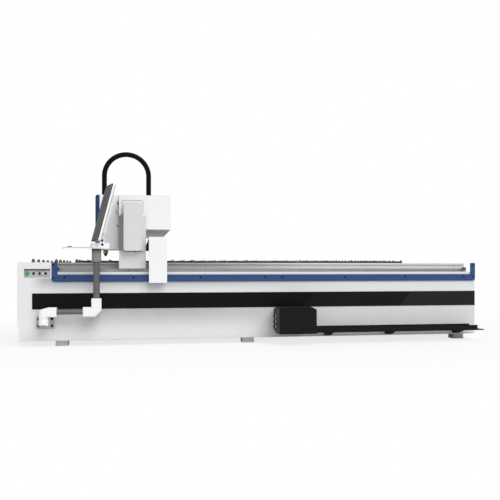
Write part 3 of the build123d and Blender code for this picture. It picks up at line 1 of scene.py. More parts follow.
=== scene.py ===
"""Dresses the fiber laser cutting machine: finishes for its nodes, and its small pieces."""

import json
import logging
import math
from dataclasses import dataclass
from enum import Enum
from typing import Sequence, Union

import bmesh
import bpy
import numpy as np
from mathutils import Matrix, Vector

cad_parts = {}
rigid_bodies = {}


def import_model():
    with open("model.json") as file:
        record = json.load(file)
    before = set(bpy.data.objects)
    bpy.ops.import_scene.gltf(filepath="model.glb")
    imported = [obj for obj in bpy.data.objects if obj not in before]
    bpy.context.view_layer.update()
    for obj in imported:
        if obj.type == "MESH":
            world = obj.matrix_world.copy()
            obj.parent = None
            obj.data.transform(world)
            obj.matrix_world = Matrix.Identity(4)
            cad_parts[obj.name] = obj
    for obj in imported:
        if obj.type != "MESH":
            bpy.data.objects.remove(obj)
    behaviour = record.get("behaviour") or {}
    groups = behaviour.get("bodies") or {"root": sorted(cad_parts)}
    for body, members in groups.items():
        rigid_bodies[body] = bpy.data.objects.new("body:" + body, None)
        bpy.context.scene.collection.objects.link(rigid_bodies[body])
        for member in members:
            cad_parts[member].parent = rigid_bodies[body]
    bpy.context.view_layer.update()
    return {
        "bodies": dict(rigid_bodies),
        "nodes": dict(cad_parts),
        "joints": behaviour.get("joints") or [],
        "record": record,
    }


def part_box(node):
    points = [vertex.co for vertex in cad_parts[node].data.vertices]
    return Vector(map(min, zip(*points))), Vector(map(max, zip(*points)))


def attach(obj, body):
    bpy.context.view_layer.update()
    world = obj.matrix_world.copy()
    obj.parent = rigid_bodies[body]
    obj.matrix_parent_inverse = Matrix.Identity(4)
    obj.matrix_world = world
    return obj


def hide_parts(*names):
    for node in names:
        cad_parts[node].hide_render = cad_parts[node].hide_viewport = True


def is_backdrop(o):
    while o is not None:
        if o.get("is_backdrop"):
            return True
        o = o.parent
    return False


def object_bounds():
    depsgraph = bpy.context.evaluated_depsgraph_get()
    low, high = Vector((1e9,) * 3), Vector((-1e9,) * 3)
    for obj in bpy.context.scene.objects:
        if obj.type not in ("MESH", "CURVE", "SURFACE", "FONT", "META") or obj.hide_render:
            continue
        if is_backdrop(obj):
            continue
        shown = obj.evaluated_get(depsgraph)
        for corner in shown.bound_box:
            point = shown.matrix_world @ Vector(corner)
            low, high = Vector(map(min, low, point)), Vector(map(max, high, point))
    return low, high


log = logging.getLogger("laser_cutter")

Colour = tuple[float, float, float]
Point = tuple[float, float, float]
Number = Union[float, "Field"]

# Every rack and pinion: the pitch of its teeth, and how far they stand out of and reach behind the pitch line.
TOOTH_PITCH = 0.002 * math.pi
ADDENDUM = 0.0012
DEDENDUM = 0.0018
# From the near side sheet to the frame's middle.
NEAR_SIDE = 0.992
DUST: Colour = (0.42, 0.40, 0.37)


class Grain(Enum):
    """The way in which a metal's fine lines run."""

    ALONG_BED = (0.02, 1.0, 1.0)
    ACROSS_BED = (1.0, 0.02, 1.0)
    UPRIGHT = (1.0, 1.0, 0.02)
    NONE = (1.0, 1.0, 1.0)


class Side(Enum):
    """The two long sides of the bed."""

    NEAR = -1
    FAR = 1


class Field:
    """A value socket with Python's arithmetic. Each operation adds one Math node."""

    def __init__(self, shader: "Shader", socket: bpy.types.NodeSocket) -> None:
        """Keeps the socket.

        Args:
            shader: the shader that the socket belongs to.
            socket: a node's output.
        """
        self.shader = shader
        self.socket = socket

    def _math(self, operation: str, *values: Number) -> "Field":
        """Adds a Math node.

        Args:
            operation: the node's operation.
            values: its inputs, in order.

        Returns:
            The node's result.
        """
        inputs = {index: value for index, value in enumerate(values)}
        return self.shader.value("ShaderNodeMath", {"operation": operation}, inputs)

    def __add__(self, other: Number) -> "Field":
        """Sum."""
        return self._math("ADD", self, other)

    def __sub__(self, other: Number) -> "Field":
        """Difference."""
        return self._math("SUBTRACT", self, other)

    def __rsub__(self, other: Number) -> "Field":
        """Difference, with the number first."""
        return self._math("SUBTRACT", other, self)

    def __mul__(self, other: Number) -> "Field":
        """Product."""
        return self._math("MULTIPLY", self, other)

    def __pow__(self, other: Number) -> "Field":
        """Power."""
        return self._math("POWER", self, other)

    def above(self, edge: Number) -> "Field":
        """One where the value is over the edge, zero elsewhere."""
        return self._math("GREATER_THAN", self, edge)

    def fade(self, start: float, end: float) -> "Field":
        """Zero before start, one after end, and smooth between them.

        Args:
            start: the value where the fade begins.
            end: the value where it is full. It may be below start.

        Returns:
            The faded value.
        """
        low, high, to_low, to_high = (start, end, 0.0, 1.0) if start < end else (end, start, 1.0, 0.0)
        inputs = {"Value": self, "From Min": low, "From Max": high, "To Min": to_low, "To Max": to_high}
        return self.shader.value("ShaderNodeMapRange", {"interpolation_type": "SMOOTHSTEP"}, inputs)


class Shader:
    """A material's node tree, with one method that makes every node."""

    def __init__(self, name: str) -> None:
        """Makes the material with a Principled shader.

        Args:
            name: the material's name.
        """
        self.material = bpy.data.materials.new(name)
        self.material.use_nodes = True
        self.tree = self.material.node_tree
        self.tree.nodes.clear()
        self.surface = self.node("ShaderNodeBsdfPrincipled")
        self.output = self.node("ShaderNodeOutputMaterial", {}, {"Surface": self.surface.outputs[0]})
        self.coordinates = self.node("ShaderNodeTexCoord").outputs["Object"]

    def node(self, kind: str, settings: dict | None = None, inputs: dict | None = None) -> bpy.types.Node:
        """Makes a node.

        Args:
            kind: the node's type.
            settings: its properties, set first. A ramp's stops go in as "stops".
            inputs: values or links, by the socket's name or number.

        Returns:
            The node.
        """
        made = self.tree.nodes.new(kind)
        for key, value in (settings or {}).items():
            if key == "stops":
                ramp = made.color_ramp
                while len(ramp.elements) < len(value):
                    ramp.elements.new(1.0)
                for element, (place, colour) in zip(ramp.elements, value):
                    element.position = place
                    element.color = (*colour, 1.0)
            else:
                setattr(made, key, value)
        for key, value in (inputs or {}).items():
            socket = made.inputs[key]
            source = value.socket if isinstance(value, Field) else value
            if isinstance(source, bpy.types.NodeSocket):
                self.tree.links.new(source, socket)
            elif socket.type == "RGBA" and len(source) == 3:
                socket.default_value = (*source, 1.0)
            else:
                socket.default_value = source
        return made

    def value(self, kind: str, settings: dict | None = None, inputs: dict | None = None) -> Field:
        """Makes a node and wraps its first output."""
        return Field(self, self.node(kind, settings, inputs).outputs[0])

    def stretched(self, stretch: Sequence[float]) -> bpy.types.NodeSocket:
        """Object coordinates, scaled along each axis."""
        return self.node("ShaderNodeMapping", {}, {"Vector": self.coordinates, "Scale": tuple(stretch)}).outputs[0]

    def height(self, axis: int = 2) -> Field:
        """One object coordinate, in metres.

        Args:
            axis: 0, 1 or 2 for X, Y or Z.

        Returns:
            The coordinate.
        """
        parts = self.node("ShaderNodeSeparateXYZ", {}, {0: self.coordinates})
        return Field(self, parts.outputs[axis])

    def noise(self, scale: float, detail: float = 3.0, stretch: Sequence[float] = (1, 1, 1)) -> Field:
        """Noise between zero and one.

        Args:
            scale: features per metre.
            detail: octaves.
            stretch: scale along each axis.

        Returns:
            The noise.
        """
        inputs = {"Vector": self.stretched(stretch), "Scale": scale, "Detail": detail, "Roughness": 0.55}
        return self.value("ShaderNodeTexNoise", {"noise_dimensions": "3D"}, inputs)

    def cells(self, scale: float, stretch: Sequence[float] = (1, 1, 1)) -> Field:
        """Distance to the nearest of scattered points, for spatter and speckle."""
        inputs = {"Vector": self.stretched(stretch), "Scale": scale}
        return self.value("ShaderNodeTexVoronoi", {"voronoi_dimensions": "3D"}, inputs)

    def blend(self, amount: Number, first: object, second: object) -> bpy.types.NodeSocket:
        """Mixes two colours.

        Args:
            amount: zero for the first, one for the second.
            first: a colour or a colour socket.
            second: a colour or a colour socket.

        Returns:
            The mixed colour.
        """
        settings = {"data_type": "RGBA", "clamp_factor": True}
        return self.node("ShaderNodeMix", settings, {0: amount, 6: first, 7: second}).outputs[2]

    def relief(self, height: Field, depth: float, under: bpy.types.NodeSocket | None = None) -> bpy.types.NodeSocket:
        """A Bump node.

        Args:
            height: the relief, from zero to one.
            depth: its depth in metres.
            under: the normal of a coarser relief.

        Returns:
            The normal.
        """
        inputs = {"Height": height, "Distance": depth, "Strength": 1.0}
        if under is not None:
            inputs["Normal"] = under
        return self.node("ShaderNodeBump", {}, inputs).outputs[0]

    def dress(self, **sockets: object) -> bpy.types.Material:
        """Sets or links the Principled shader's sockets, by name with _ for a space.

        Returns:
            The material.
        """
        for key, value in sockets.items():
            socket = self.surface.inputs[key.replace("_", " ")]
            source = value.socket if isinstance(value, Field) else value
            if isinstance(source, bpy.types.NodeSocket):
                self.tree.links.new(source, socket)
            elif socket.type == "RGBA":
                socket.default_value = (*source, 1.0)
            else:
                socket.default_value = source
        return self.material


def shade(colour: Colour, factor: float) -> Colour:
    """A colour made darker or lighter by a factor."""
    return tuple(min(1.0, part * factor) for part in colour)


@dataclass(frozen=True)
class PowderCoat:
    """Baked paint on sheet metal: fine orange peel, faint clouding, and dust low down."""

    name: str
    colour: Colour
    roughness: float = 0.42
    peel: float = 0.00005
    clouding: float = 0.03
    coat: float = 0.0
    dust: float = 0.25
    specular: float = 0.5

    def material(self) -> bpy.types.Material:
        """The node material."""
        shader = Shader(self.name)
        cloud = shader.noise(1.7, 4.0)
        fine = shader.noise(420.0, 2.0)
        marks = shader.noise(9.0, 6.0, (1.0, 1.0, 3.0))
        low = shader.height().fade(0.24, 0.05) * self.dust
        base = shader.blend(cloud, shade(self.colour, 1 - self.clouding), shade(self.colour, 1 + self.clouding))
        dusty = shader.blend(low * marks, base, DUST)
        return shader.dress(
            Base_Color=dusty,
            Roughness=(marks - 0.5) * 0.10 + low * 0.3 + self.roughness,
            Coat_Weight=self.coat,
            Coat_Roughness=0.12,
            Specular_IOR_Level=self.specular,
            Normal=shader.relief(fine, self.peel),
        )


@dataclass(frozen=True)
class ShadeGradientPaint:
    """Paint of the bed's upright sheets, with painted shade: a grey that thickens below each overhanging edge."""

    name: str
    colour: Colour
    # Grey of the painted shade, and the heights over which it darkens up to each overhanging edge.
    shade_colour: Colour
    shade_spans: tuple[tuple[float, float], ...]
    # Along X, the painted shade fades in between the first pair of values and grows lighter towards the right between
    # the second pair, by the share below.
    shade_begins: tuple[float, float] = (-2.40, -2.22)
    shade_thins: tuple[float, float] = (-0.9, 1.0)
    shade_thinned: float = 0.85
    roughness: float = 0.44

    def material(self) -> bpy.types.Material:
        """The node material."""
        shader = Shader(self.name)
        height = shader.height()
        fine = shader.noise(420.0, 2.0)
        marks = shader.noise(9.0, 6.0, (1.0, 1.0, 3.0))
        shade_streaks = shader.noise(5.0, 4.0, (1.0, 1.0, 0.12))
        # Painted shade: a streaky grey, darkest just under each overhanging edge, fading downwards, fading in along X
        # and lighter towards the right.
        shade_amount = height * 0.0
        for low, high in self.shade_spans:
            shade_amount = shade_amount + height.fade(low, high) * (1.0 - height.above(high))
        along = shader.height(0)
        shade_amount = shade_amount * along.fade(*self.shade_begins) * (1.0 - along.fade(*self.shade_thins) * self.shade_thinned)
        shaded_colour = shader.blend(shade_amount * (shade_streaks * 0.3 + 0.85), self.colour, self.shade_colour)
        dusty = shader.blend(height.fade(0.20, 0.06) * marks * 0.22, shaded_colour, DUST)
        return shader.dress(
            Base_Color=dusty,
            Roughness=(marks - 0.5) * 0.10 + shade_amount * 0.08 + self.roughness,
            Normal=shader.relief(fine, 0.00005),
        )


@dataclass(frozen=True)
class GlossPaint:
    """Smooth glossy paint with faint polishing haze, and painted reflections in lighter diagonal bands."""

    name: str
    colour: Colour
    roughness: float = 0.22
    specular: float = 0.08
    # Painted reflections: where each lighter diagonal band starts, along X less Z times the slant, and how much lighter
    # it is.
    painted_reflections: Sequence[tuple[float, float]] = ((0.14, 0.004), (1.25, 0.010))
    reflection_slant: float = 0.85

    def material(self) -> bpy.types.Material:
        """The node material."""
        shader = Shader(self.name)
        haze = shader.noise(5.0, 5.0, (0.3, 1.0, 1.0))
        ripple = shader.noise(14.0, 2.0)
        base = shader.blend(haze, self.colour, shade(self.colour, 1.6))
        # Painted reflections: lighter diagonal bands mixed into the colour.
        reflection_line = shader.height(0) - shader.height(2) * self.reflection_slant
        painted_sheen = haze * 0.0
        for edge, amount in self.painted_reflections:
            painted_sheen = painted_sheen + reflection_line.fade(edge, edge + 0.03) * amount
        return shader.dress(
            Base_Color=shader.blend(painted_sheen, base, (1.0, 1.0, 1.0)),
            Roughness=haze * 0.10 + self.roughness,
            Specular_IOR_Level=self.specular,
            Normal=shader.relief(ripple, 0.0002),
        )


@dataclass(frozen=True)
class Metal:
    """Bare metal with drawn or ground lines, smudges and slight tarnish."""

    name: str
    colour: Colour
    roughness: float = 0.32
    grain: Grain = Grain.NONE
    tarnish: Colour = (0.30, 0.28, 0.25)
    tarnished: float = 0.25
    metallic: float = 1.0

    def material(self) -> bpy.types.Material:
        """The node material."""
        shader = Shader(self.name)
        lines = shader.noise(900.0, 2.0, self.grain.value)
        smudge = shader.noise(7.0, 5.0)
        base = shader.blend(smudge.fade(0.45, 0.75) * self.tarnished, self.colour, self.tarnish)
        streaked = shader.blend(lines * 0.25, base, shade(self.colour, 0.7))
        return shader.dress(
            Base_Color=streaked,
            Metallic=self.metallic,
            Roughness=smudge * 0.16 + lines * 0.08 + (self.roughness - 0.10),
            Normal=shader.relief(lines, 0.00003),
        )


@dataclass(frozen=True)
class BurntSteel:
    """Hot rolled steel under the beam: scale, heat tints, and slag spatter near the top."""

    name: str
    scale_colour: Colour = (0.075, 0.068, 0.062)
    bare_colour: Colour = (0.30, 0.27, 0.24)
    rust: Colour = (0.20, 0.085, 0.035)
    burnt_from: float = 0.82
    burnt_to: float = 0.90

    def material(self) -> bpy.types.Material:
        """The node material."""
        shader = Shader(self.name)
        patches = shader.noise(16.0, 6.0)
        fine = shader.noise(160.0, 4.0)
        slag = shader.cells(190.0).fade(0.34, 0.12)
        hot = shader.height().fade(self.burnt_from, self.burnt_to)
        plain = shader.blend(patches.fade(0.40, 0.65), self.scale_colour, self.bare_colour)
        rusty = shader.blend(shader.noise(34.0, 5.0).fade(0.52, 0.70) * 0.7, plain, self.rust)
        burnt = shader.blend(hot * (fine * 0.6 + 0.3), rusty, (0.035, 0.03, 0.028))
        spattered = shader.blend(slag * hot * 0.7, burnt, (0.16, 0.13, 0.11))
        rough = shader.relief(fine, 0.0004)
        return shader.dress(
            Base_Color=spattered,
            Metallic=0.55,
            Roughness=fine * 0.30 + 0.42,
            Normal=shader.relief(slag * hot, 0.0012, rough),
        )


@dataclass(frozen=True)
class Moulded:
    """Moulded plastic or rubber with a fine grain."""

    name: str
    colour: Colour
    roughness: float = 0.38
    grain: float = 0.00004
    coat: float = 0.0
    specular: float = 0.5

    def material(self) -> bpy.types.Material:
        """The node material."""
        shader = Shader(self.name)
        grain = shader.noise(1400.0, 2.0)
        wear = shader.noise(26.0, 5.0)
        base = shader.blend(wear, shade(self.colour, 0.92), shade(self.colour, 1.10))
        return shader.dress(
            Base_Color=base,
            Roughness=(wear - 0.5) * 0.14 + self.roughness,
            Coat_Weight=self.coat,
            Coat_Roughness=0.08,
            Specular_IOR_Level=self.specular,
            Normal=shader.relief(grain, self.grain),
        )


@dataclass(frozen=True)
class ScreenGlass:
    """Dark glass of a switched-off screen, with faint smears."""

    name: str
    colour: Colour = (0.010, 0.0105, 0.012)
    specular: float = 0.04

    def material(self) -> bpy.types.Material:
        """The node material."""
        shader = Shader(self.name)
        smear = shader.noise(11.0, 6.0, (1.0, 1.0, 0.35))
        base = shader.blend(smear.fade(0.5, 0.8) * 0.4, self.colour, shade(self.colour, 3.0))
        return shader.dress(
            Base_Color=base,
            Roughness=smear * 0.14 + 0.16,
            Specular_IOR_Level=self.specular,
            Normal=shader.relief(smear, 0.00002),
        )


WHITE = PowderCoat("white_powder_coat", (0.76, 0.765, 0.77))
# Painted shade on the side sheets below the black band and below the blue rail covers, and on the rail walls towards
# their top; both are darker towards the left.
SIDE_WHITE = ShadeGradientPaint("side_sheet_paint", (0.74, 0.745, 0.75), (0.42, 0.425, 0.43), ((0.10, 0.386), (0.54, 0.70)))
WALL_WHITE = ShadeGradientPaint("wall_sheet_paint", (0.80, 0.805, 0.81), (0.34, 0.345, 0.35), ((0.55, 0.90),))
GANTRY_WHITE = PowderCoat("gantry_white_paint", (0.84, 0.845, 0.85), roughness=0.36, dust=0.0)
LEG_WHITE = PowderCoat("leg_white_paint", (0.66, 0.665, 0.67), roughness=0.38, dust=0.0)
# Dark grey that paints the shade on the left flanks beside the motor covers.
FLANK_PAINTED_SHADE = PowderCoat("flank_painted_shade", (0.24, 0.243, 0.25), roughness=0.42, dust=0.0)
HEAD_BLUE = Moulded("blue_moulding", (0.014, 0.042, 0.120), roughness=0.36, specular=0.25)
BLUE = PowderCoat("blue_powder_coat", (0.028, 0.066, 0.190), roughness=0.40, clouding=0.05, dust=0.0, specular=0.3)
BLACK = PowderCoat("black_powder_coat", (0.007, 0.007, 0.008), clouding=0.15, dust=0.0, specular=0.12)
# The black band takes painted reflections in lighter diagonal bands.
BAND = GlossPaint("black_gloss_band", (0.004, 0.004, 0.0045))
GREY = PowderCoat("grey_paint", (0.40, 0.405, 0.41), roughness=0.40)
RECESS_GREY = PowderCoat("recess_grey_paint", (0.46, 0.465, 0.47), roughness=0.45, dust=0.0)
FOOT_GREY = PowderCoat("foot_grey_paint", (0.66, 0.66, 0.66), roughness=0.45, dust=0.4)
CONSOLE_WHITE = PowderCoat("console_white_paint", (0.86, 0.86, 0.865), roughness=0.34, dust=0.0)
BEZEL_GREY = Moulded("monitor_bezel_grey", (0.013, 0.013, 0.014), roughness=0.55, specular=0.04)
# Painted shadow darkening the top of the sleeve, under the bracket.
SLEEVE_GREY = ShadeGradientPaint("sleeve_grey_paint", (0.22, 0.22, 0.225), (0.04, 0.04, 0.042), ((0.94, 1.002),), (-9.0, -8.0))
TUBE_GREY = Metal("arm_tube_grey", (0.14, 0.14, 0.15), roughness=0.42, grain=Grain.UPRIGHT, metallic=0.5)
GROUND_STEEL = Metal("ground_steel", (0.55, 0.55, 0.54), roughness=0.28, grain=Grain.ALONG_BED)
CROSS_STEEL = Metal("ground_steel_across", (0.55, 0.55, 0.54), roughness=0.28, grain=Grain.ACROSS_BED)
BLOCK_STEEL = Metal("block_steel", (0.10, 0.10, 0.105), roughness=0.40)
RUNNER_STEEL = Metal("runner_steel", (0.26, 0.26, 0.27), roughness=0.36)
SCREW_STEEL = Moulded("blackened_steel", (0.006, 0.006, 0.008), roughness=0.45, specular=0.12)
ALUMINIUM = Metal("machined_aluminium", (0.66, 0.67, 0.68), roughness=0.34, grain=Grain.UPRIGHT, tarnished=0.1)
BRASS = Metal("nozzle_brass", (0.36, 0.34, 0.09), roughness=0.30, tarnish=(0.13, 0.12, 0.04), tarnished=0.5)
SLAT = BurntSteel("slat_steel", scale_colour=(0.008, 0.008, 0.009), bare_colour=(0.035, 0.034, 0.033))
COMB = BurntSteel("comb_steel", scale_colour=(0.030, 0.028, 0.027), bare_colour=(0.07, 0.066, 0.063))
TRAY_STEEL = Metal("scrap_tray_steel", (0.15, 0.147, 0.143), roughness=0.5, tarnished=0.2)
RUBBER = Moulded("buffer_rubber", (0.018, 0.018, 0.018), roughness=0.7, grain=0.0001)
CONDUIT = Moulded("conduit_black", (0.003, 0.003, 0.003), roughness=0.50, specular=0.08)
MOTOR = Moulded("motor_black", (0.02, 0.02, 0.022), roughness=0.45, grain=0.00008)
GREEN = Moulded("green_button_plastic", (0.03, 0.30, 0.075), roughness=0.22, coat=0.5)
BUTTON_BLACK = Moulded("black_button_plastic", (0.008, 0.008, 0.012), roughness=0.3, specular=0.3)
RING = Metal("button_ring_metal", (0.80, 0.81, 0.82), roughness=0.30, metallic=0.4)
GLASS = ScreenGlass("screen_glass")


class Finishes:
    """Makes each finish's material once."""

    def __init__(self) -> None:
        """Starts with no materials."""
        self.made: dict[str, bpy.types.Material] = {}

    def of(self, finish: object) -> bpy.types.Material:
        """The material of a finish.

        Args:
            finish: one of the finish classes above.

        Returns:
            Its material.
        """
        if finish.name not in self.made:
            self.made[finish.name] = finish.material()
        return self.made[finish.name]


class Shell:
    """Points and faces of surfaces that were worked out on grids."""

    def __init__(self, points: np.ndarray, faces: list[tuple[int, ...]]) -> None:
        """Keeps the points and faces.

        Args:
            points: an array of shape (n, 3).
            faces: tuples of point numbers.
        """
        self.points = points
        self.faces = faces

    @classmethod
    def from_grid(cls, grid: np.ndarray, closed: bool = True, caps: bool = True) -> "Shell":
        """Joins a grid's neighbours with four-sided faces.

        Args:
            grid: points of shape (rows, columns, 3).
            closed: whether the last column meets the first.
            caps: whether one face closes the first row and one the last.

        Returns:
            The surface.
        """
        rows, columns = grid.shape[:2]
        number = np.arange(rows * columns).reshape(rows, columns)
        after = np.roll(number, -1, axis=1)
        span = columns if closed else columns - 1
        quads = np.stack([number[:-1, :span], after[:-1, :span], after[1:, :span], number[1:, :span]], axis=-1)
        faces = [tuple(quad) for quad in quads.reshape(-1, 4).tolist()]
        if caps:
            faces.append(tuple(number[0, ::-1].tolist()))
            faces.append(tuple(number[-1].tolist()))
        return cls(grid.reshape(-1, 3), faces)

    def placed(self, matrix: Matrix) -> "Shell":
        """The same surface, moved and turned by a matrix."""
        turn = np.array(matrix)[:3, :3]
        move = np.array(matrix)[:3, 3]
        return Shell(self.points @ turn.T + move, self.faces)

    def repeated(self, places: Sequence[Point]) -> "Shell":
        """Copies of the surface, one moved by each place.

        Args:
            places: the moves.

        Returns:
            All the copies as one surface.
        """
        moves = np.asarray(places, dtype=float)
        count = len(self.points)
        points = (self.points[None, :, :] + moves[:, None, :]).reshape(-1, 3)
        faces = [tuple(index + shift * count for index in face) for shift in range(len(moves)) for face in self.faces]
        return Shell(points, faces)

    def with_more(self, *others: "Shell") -> "Shell":
        """This surface together with others."""
        points = [self.points]
        faces = list(self.faces)
        count = len(self.points)
        for other in others:
            points.append(other.points)
            faces += [tuple(index + count for index in face) for face in other.faces]
            count += len(other.points)
        return Shell(np.concatenate(points), faces)


def turned(profile: Sequence[tuple[float, float]], segments: int = 24, hollow: bool = False) -> Shell:
    """Surface of revolution about Z: each (r, z) of the profile goes round at angle t as (r cos t, r sin t, z).

    Args:
        profile: radius and height of each ring, in metres, from one end to the other.
        segments: faces round the axis.
        hollow: whether the profile goes back to its start, as a ring's does.

    Returns:
        The closed surface.
    """
    ring = np.linspace(0, 2 * np.pi, segments, endpoint=False)
    radius, height = np.asarray(profile, dtype=float).T
    x = radius[:, None] * np.cos(ring)
    y = radius[:, None] * np.sin(ring)
    z = np.repeat(height[:, None], segments, axis=1)
    return Shell.from_grid(np.stack([x, y, z], axis=-1), caps=not hollow)


def gear(teeth: int, tip: float, root: float, phase: float, low: float, top: float) -> Shell:
    """Spur gear about Z: tooth k is centred at phase + 2 pi k / teeth and has straight flanks.

    Args:
        teeth: their number.
        tip: radius at the teeth's tips.
        root: radius between the teeth.
        phase: angle of the first tooth.
        low: lower face's height.
        top: upper face's height.

    Returns:
        The closed surface.
    """
    pitch = 2 * np.pi / teeth
    across = np.array([-0.32, -0.16, 0.16, 0.32]) * pitch
    angle = (phase + np.arange(teeth)[:, None] * pitch + across[None, :]).ravel()
    radius = np.tile([root, tip, tip, root], teeth)
    ring = np.stack([radius * np.cos(angle), radius * np.sin(angle)], axis=-1)
    rows = [np.column_stack([ring, np.full(len(ring), z)]) for z in (low, top)]
    return Shell.from_grid(np.stack(rows))


def toothed_bar(ends: tuple[float, float], centre: float, pitch: float, sides: Point, levels: Sequence[float]) -> Shell:
    """Rack along X: tooth k is centred at centre + k * pitch, with straight flanks.

    Args:
        ends: X of both ends.
        centre: X of one tooth's middle.
        pitch: from tooth to tooth.
        sides: Y of the tips, of the roots and of the plain back.
        levels: Z of the lower and the upper face.

    Returns:
        The closed surface.
    """
    tip, root, back = sides
    first = math.ceil((ends[0] - centre) / pitch + 0.5)
    last = math.floor((ends[1] - centre) / pitch - 0.5)
    steps = centre + np.arange(first, last + 1)[:, None] * pitch + np.array([-0.30, -0.14, 0.14, 0.30]) * pitch
    along = np.concatenate([[ends[0]], steps.ravel(), [ends[1]]])
    front = np.concatenate([[root], np.tile([root, tip, tip, root], len(steps)), [root]])
    low, top = levels
    corners_of = ((front, low), (front, top), (np.full_like(front, back), top), (np.full_like(front, back), low))
    columns = [np.column_stack([along, y, np.full_like(along, z)]) for y, z in corners_of]
    return Shell.from_grid(np.stack(columns, axis=1))


def rounded_outline(width: float, depth: float, radius: float, steps: int = 5) -> np.ndarray:
    """Rectangle with round corners: a quarter circle of the radius about each corner's centre.

    Args:
        width: size along the first axis.
        depth: size along the second axis.
        radius: corner radius.
        steps: points on each corner.

    Returns:
        Points of shape (4 * steps, 2).
    """
    quarter = np.linspace(0, np.pi / 2, steps)
    corners = []
    for turn, (side_x, side_y) in enumerate(((1, 1), (-1, 1), (-1, -1), (1, -1))):
        angle = quarter + turn * np.pi / 2
        x = side_x * (width / 2 - radius) + radius * np.cos(angle)
        y = side_y * (depth / 2 - radius) + radius * np.sin(angle)
        corners.append(np.stack([x, y], axis=-1))
    return np.concatenate(corners)


def pillow(size: Point, corner: float, edge: float, edge_steps: int = 4) -> Shell:
    """Housing about the origin: a round-cornered outline carried along Z, drawn in near both ends.

    At both ends the outline moves in along a quarter circle of the edge radius.

    Args:
        size: width, depth and height.
        corner: radius of the four upright edges.
        edge: radius round the two end faces.
        edge_steps: points on each quarter circle.

    Returns:
        The closed surface.
    """
    width, depth, height = size
    angle = np.linspace(0, np.pi / 2, edge_steps)
    inset = edge * (1 - np.sin(angle))
    level = -height / 2 + edge * (1 - np.cos(angle))
    insets = np.concatenate([inset, inset[::-1]])
    levels = np.concatenate([level, -level[::-1]])
    rows = []
    for drawn_in, z in zip(insets, levels):
        radius = max(corner - drawn_in, 0.0002)
        outline = rounded_outline(width - 2 * drawn_in, depth - 2 * drawn_in, radius)
        rows.append(np.column_stack([outline, np.full(len(outline), z)]))
    return Shell.from_grid(np.stack(rows))


def rim(rings: Sequence[tuple[float, float, float, float]]) -> Shell:
    """Frame about Z from round-cornered outlines that lie one inside or above the other.

    Args:
        rings: width, depth, corner radius and height of each outline. The last meets the first.

    Returns:
        The closed surface.
    """
    rows = []
    for width, depth, radius, z in (*rings, rings[0]):
        outline = rounded_outline(width, depth, radius)
        rows.append(np.column_stack([outline, np.full(len(outline), z)]))
    return Shell.from_grid(np.stack(rows), caps=False)


class Workshop:
    """Makes objects from surfaces, gives them finishes, and hangs them on their bodies."""

    def __init__(self, frame: dict) -> None:
        """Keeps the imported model's frame.
        """
        self.nodes = frame["nodes"]
        self.finishes = Finishes()
        self.count = 0

    def add(
        self,
        name: str,
        shell: Shell,
        finish: object,
        body: str,
        instead_of: Sequence[str] = (),
        slot: str | None = None,
        sharp: float = 35.0,
    ) -> bpy.types.Object:
        """Makes one finished piece.

        Args:
            name: the object's name.
            shell: its surface, in place, in metres.
            finish: its finish.
            body: the body that it rides on.
            instead_of: nodes that it stands for.
            slot: the record's material slot meant for it; not used.
            sharp: edges that turn by more degrees than this look sharp.

        Returns:
            The object.
        """
        mesh = bpy.data.meshes.new(name)
        mesh.from_pydata(shell.points.tolist(), [], shell.faces)
        shape = bmesh.new()
        shape.from_mesh(mesh)
        bmesh.ops.remove_doubles(shape, verts=shape.verts, dist=1e-6)
        bmesh.ops.recalc_face_normals(shape, faces=shape.faces)
        limit = math.radians(sharp)
        for face in shape.faces:
            face.smooth = True
        for edge in shape.edges:
            edge.smooth = edge.is_manifold and edge.calc_face_angle(math.pi) < limit
        shape.to_mesh(mesh)
        shape.free()
        made = bpy.data.objects.new(name, mesh)
        bpy.context.scene.collection.objects.link(made)
        mesh.materials.append(self.finishes.of(finish))
        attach(made, body)
        if instead_of:
            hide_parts(*instead_of)
        self.count += 1
        log.info("%s: %d faces on %s", name, len(mesh.polygons), body)
        return made

    def paint(self, finish: object, *nodes: str) -> None:
        """Gives nodes a finish.

        Args:
            finish: the finish.
            nodes: the nodes' names.
        """
        for name in nodes:
            made = self.nodes[name]
            if not made.material_slots:
                made.data.materials.append(None)
            for place in made.material_slots:
                place.material = self.finishes.of(finish)

    def soften(self, radius: float, *nodes: str) -> None:
        """Rounds the edges of nodes a little, as folded and ground sheet is.

        Args:
            radius: the width of the rounding, in metres.
            nodes: the nodes' names.
        """
        for name in nodes:
            weld = self.nodes[name].modifiers.new("join", "WELD")
            weld.merge_threshold = 0.00001
            bevel = self.nodes[name].modifiers.new("edge", "BEVEL")
            bevel.width = radius
            bevel.segments = 2
            bevel.limit_method = "ANGLE"
            bevel.angle_limit = math.radians(50)
            bevel.harden_normals = True


def pan_head(radius: float, height: float) -> Shell:
    """Screw head: a low dome with a six-sided socket's dark well left as a dish in its middle."""
    profile = [
        (radius, 0.0),
        (radius * 0.98, height * 0.45),
        (radius * 0.80, height * 0.85),
        (radius * 0.50, height),
        (radius * 0.46, height * 0.35),
        (0.0005, height * 0.30),
    ]
    return turned(profile, 14)


def hexagon_head(radius: float, height: float) -> Shell:
    """Hexagon bolt head: a six-sided prism with its top corners cut back, on a round washer."""
    washer = turned([(radius * 1.45, 0.0), (radius * 1.45, height * 0.22), (radius * 1.40, height * 0.25)], 20)
    head = turned([(radius, height * 0.2), (radius, height * 0.85), (radius * 0.86, height)], 6)
    return washer.with_more(head)


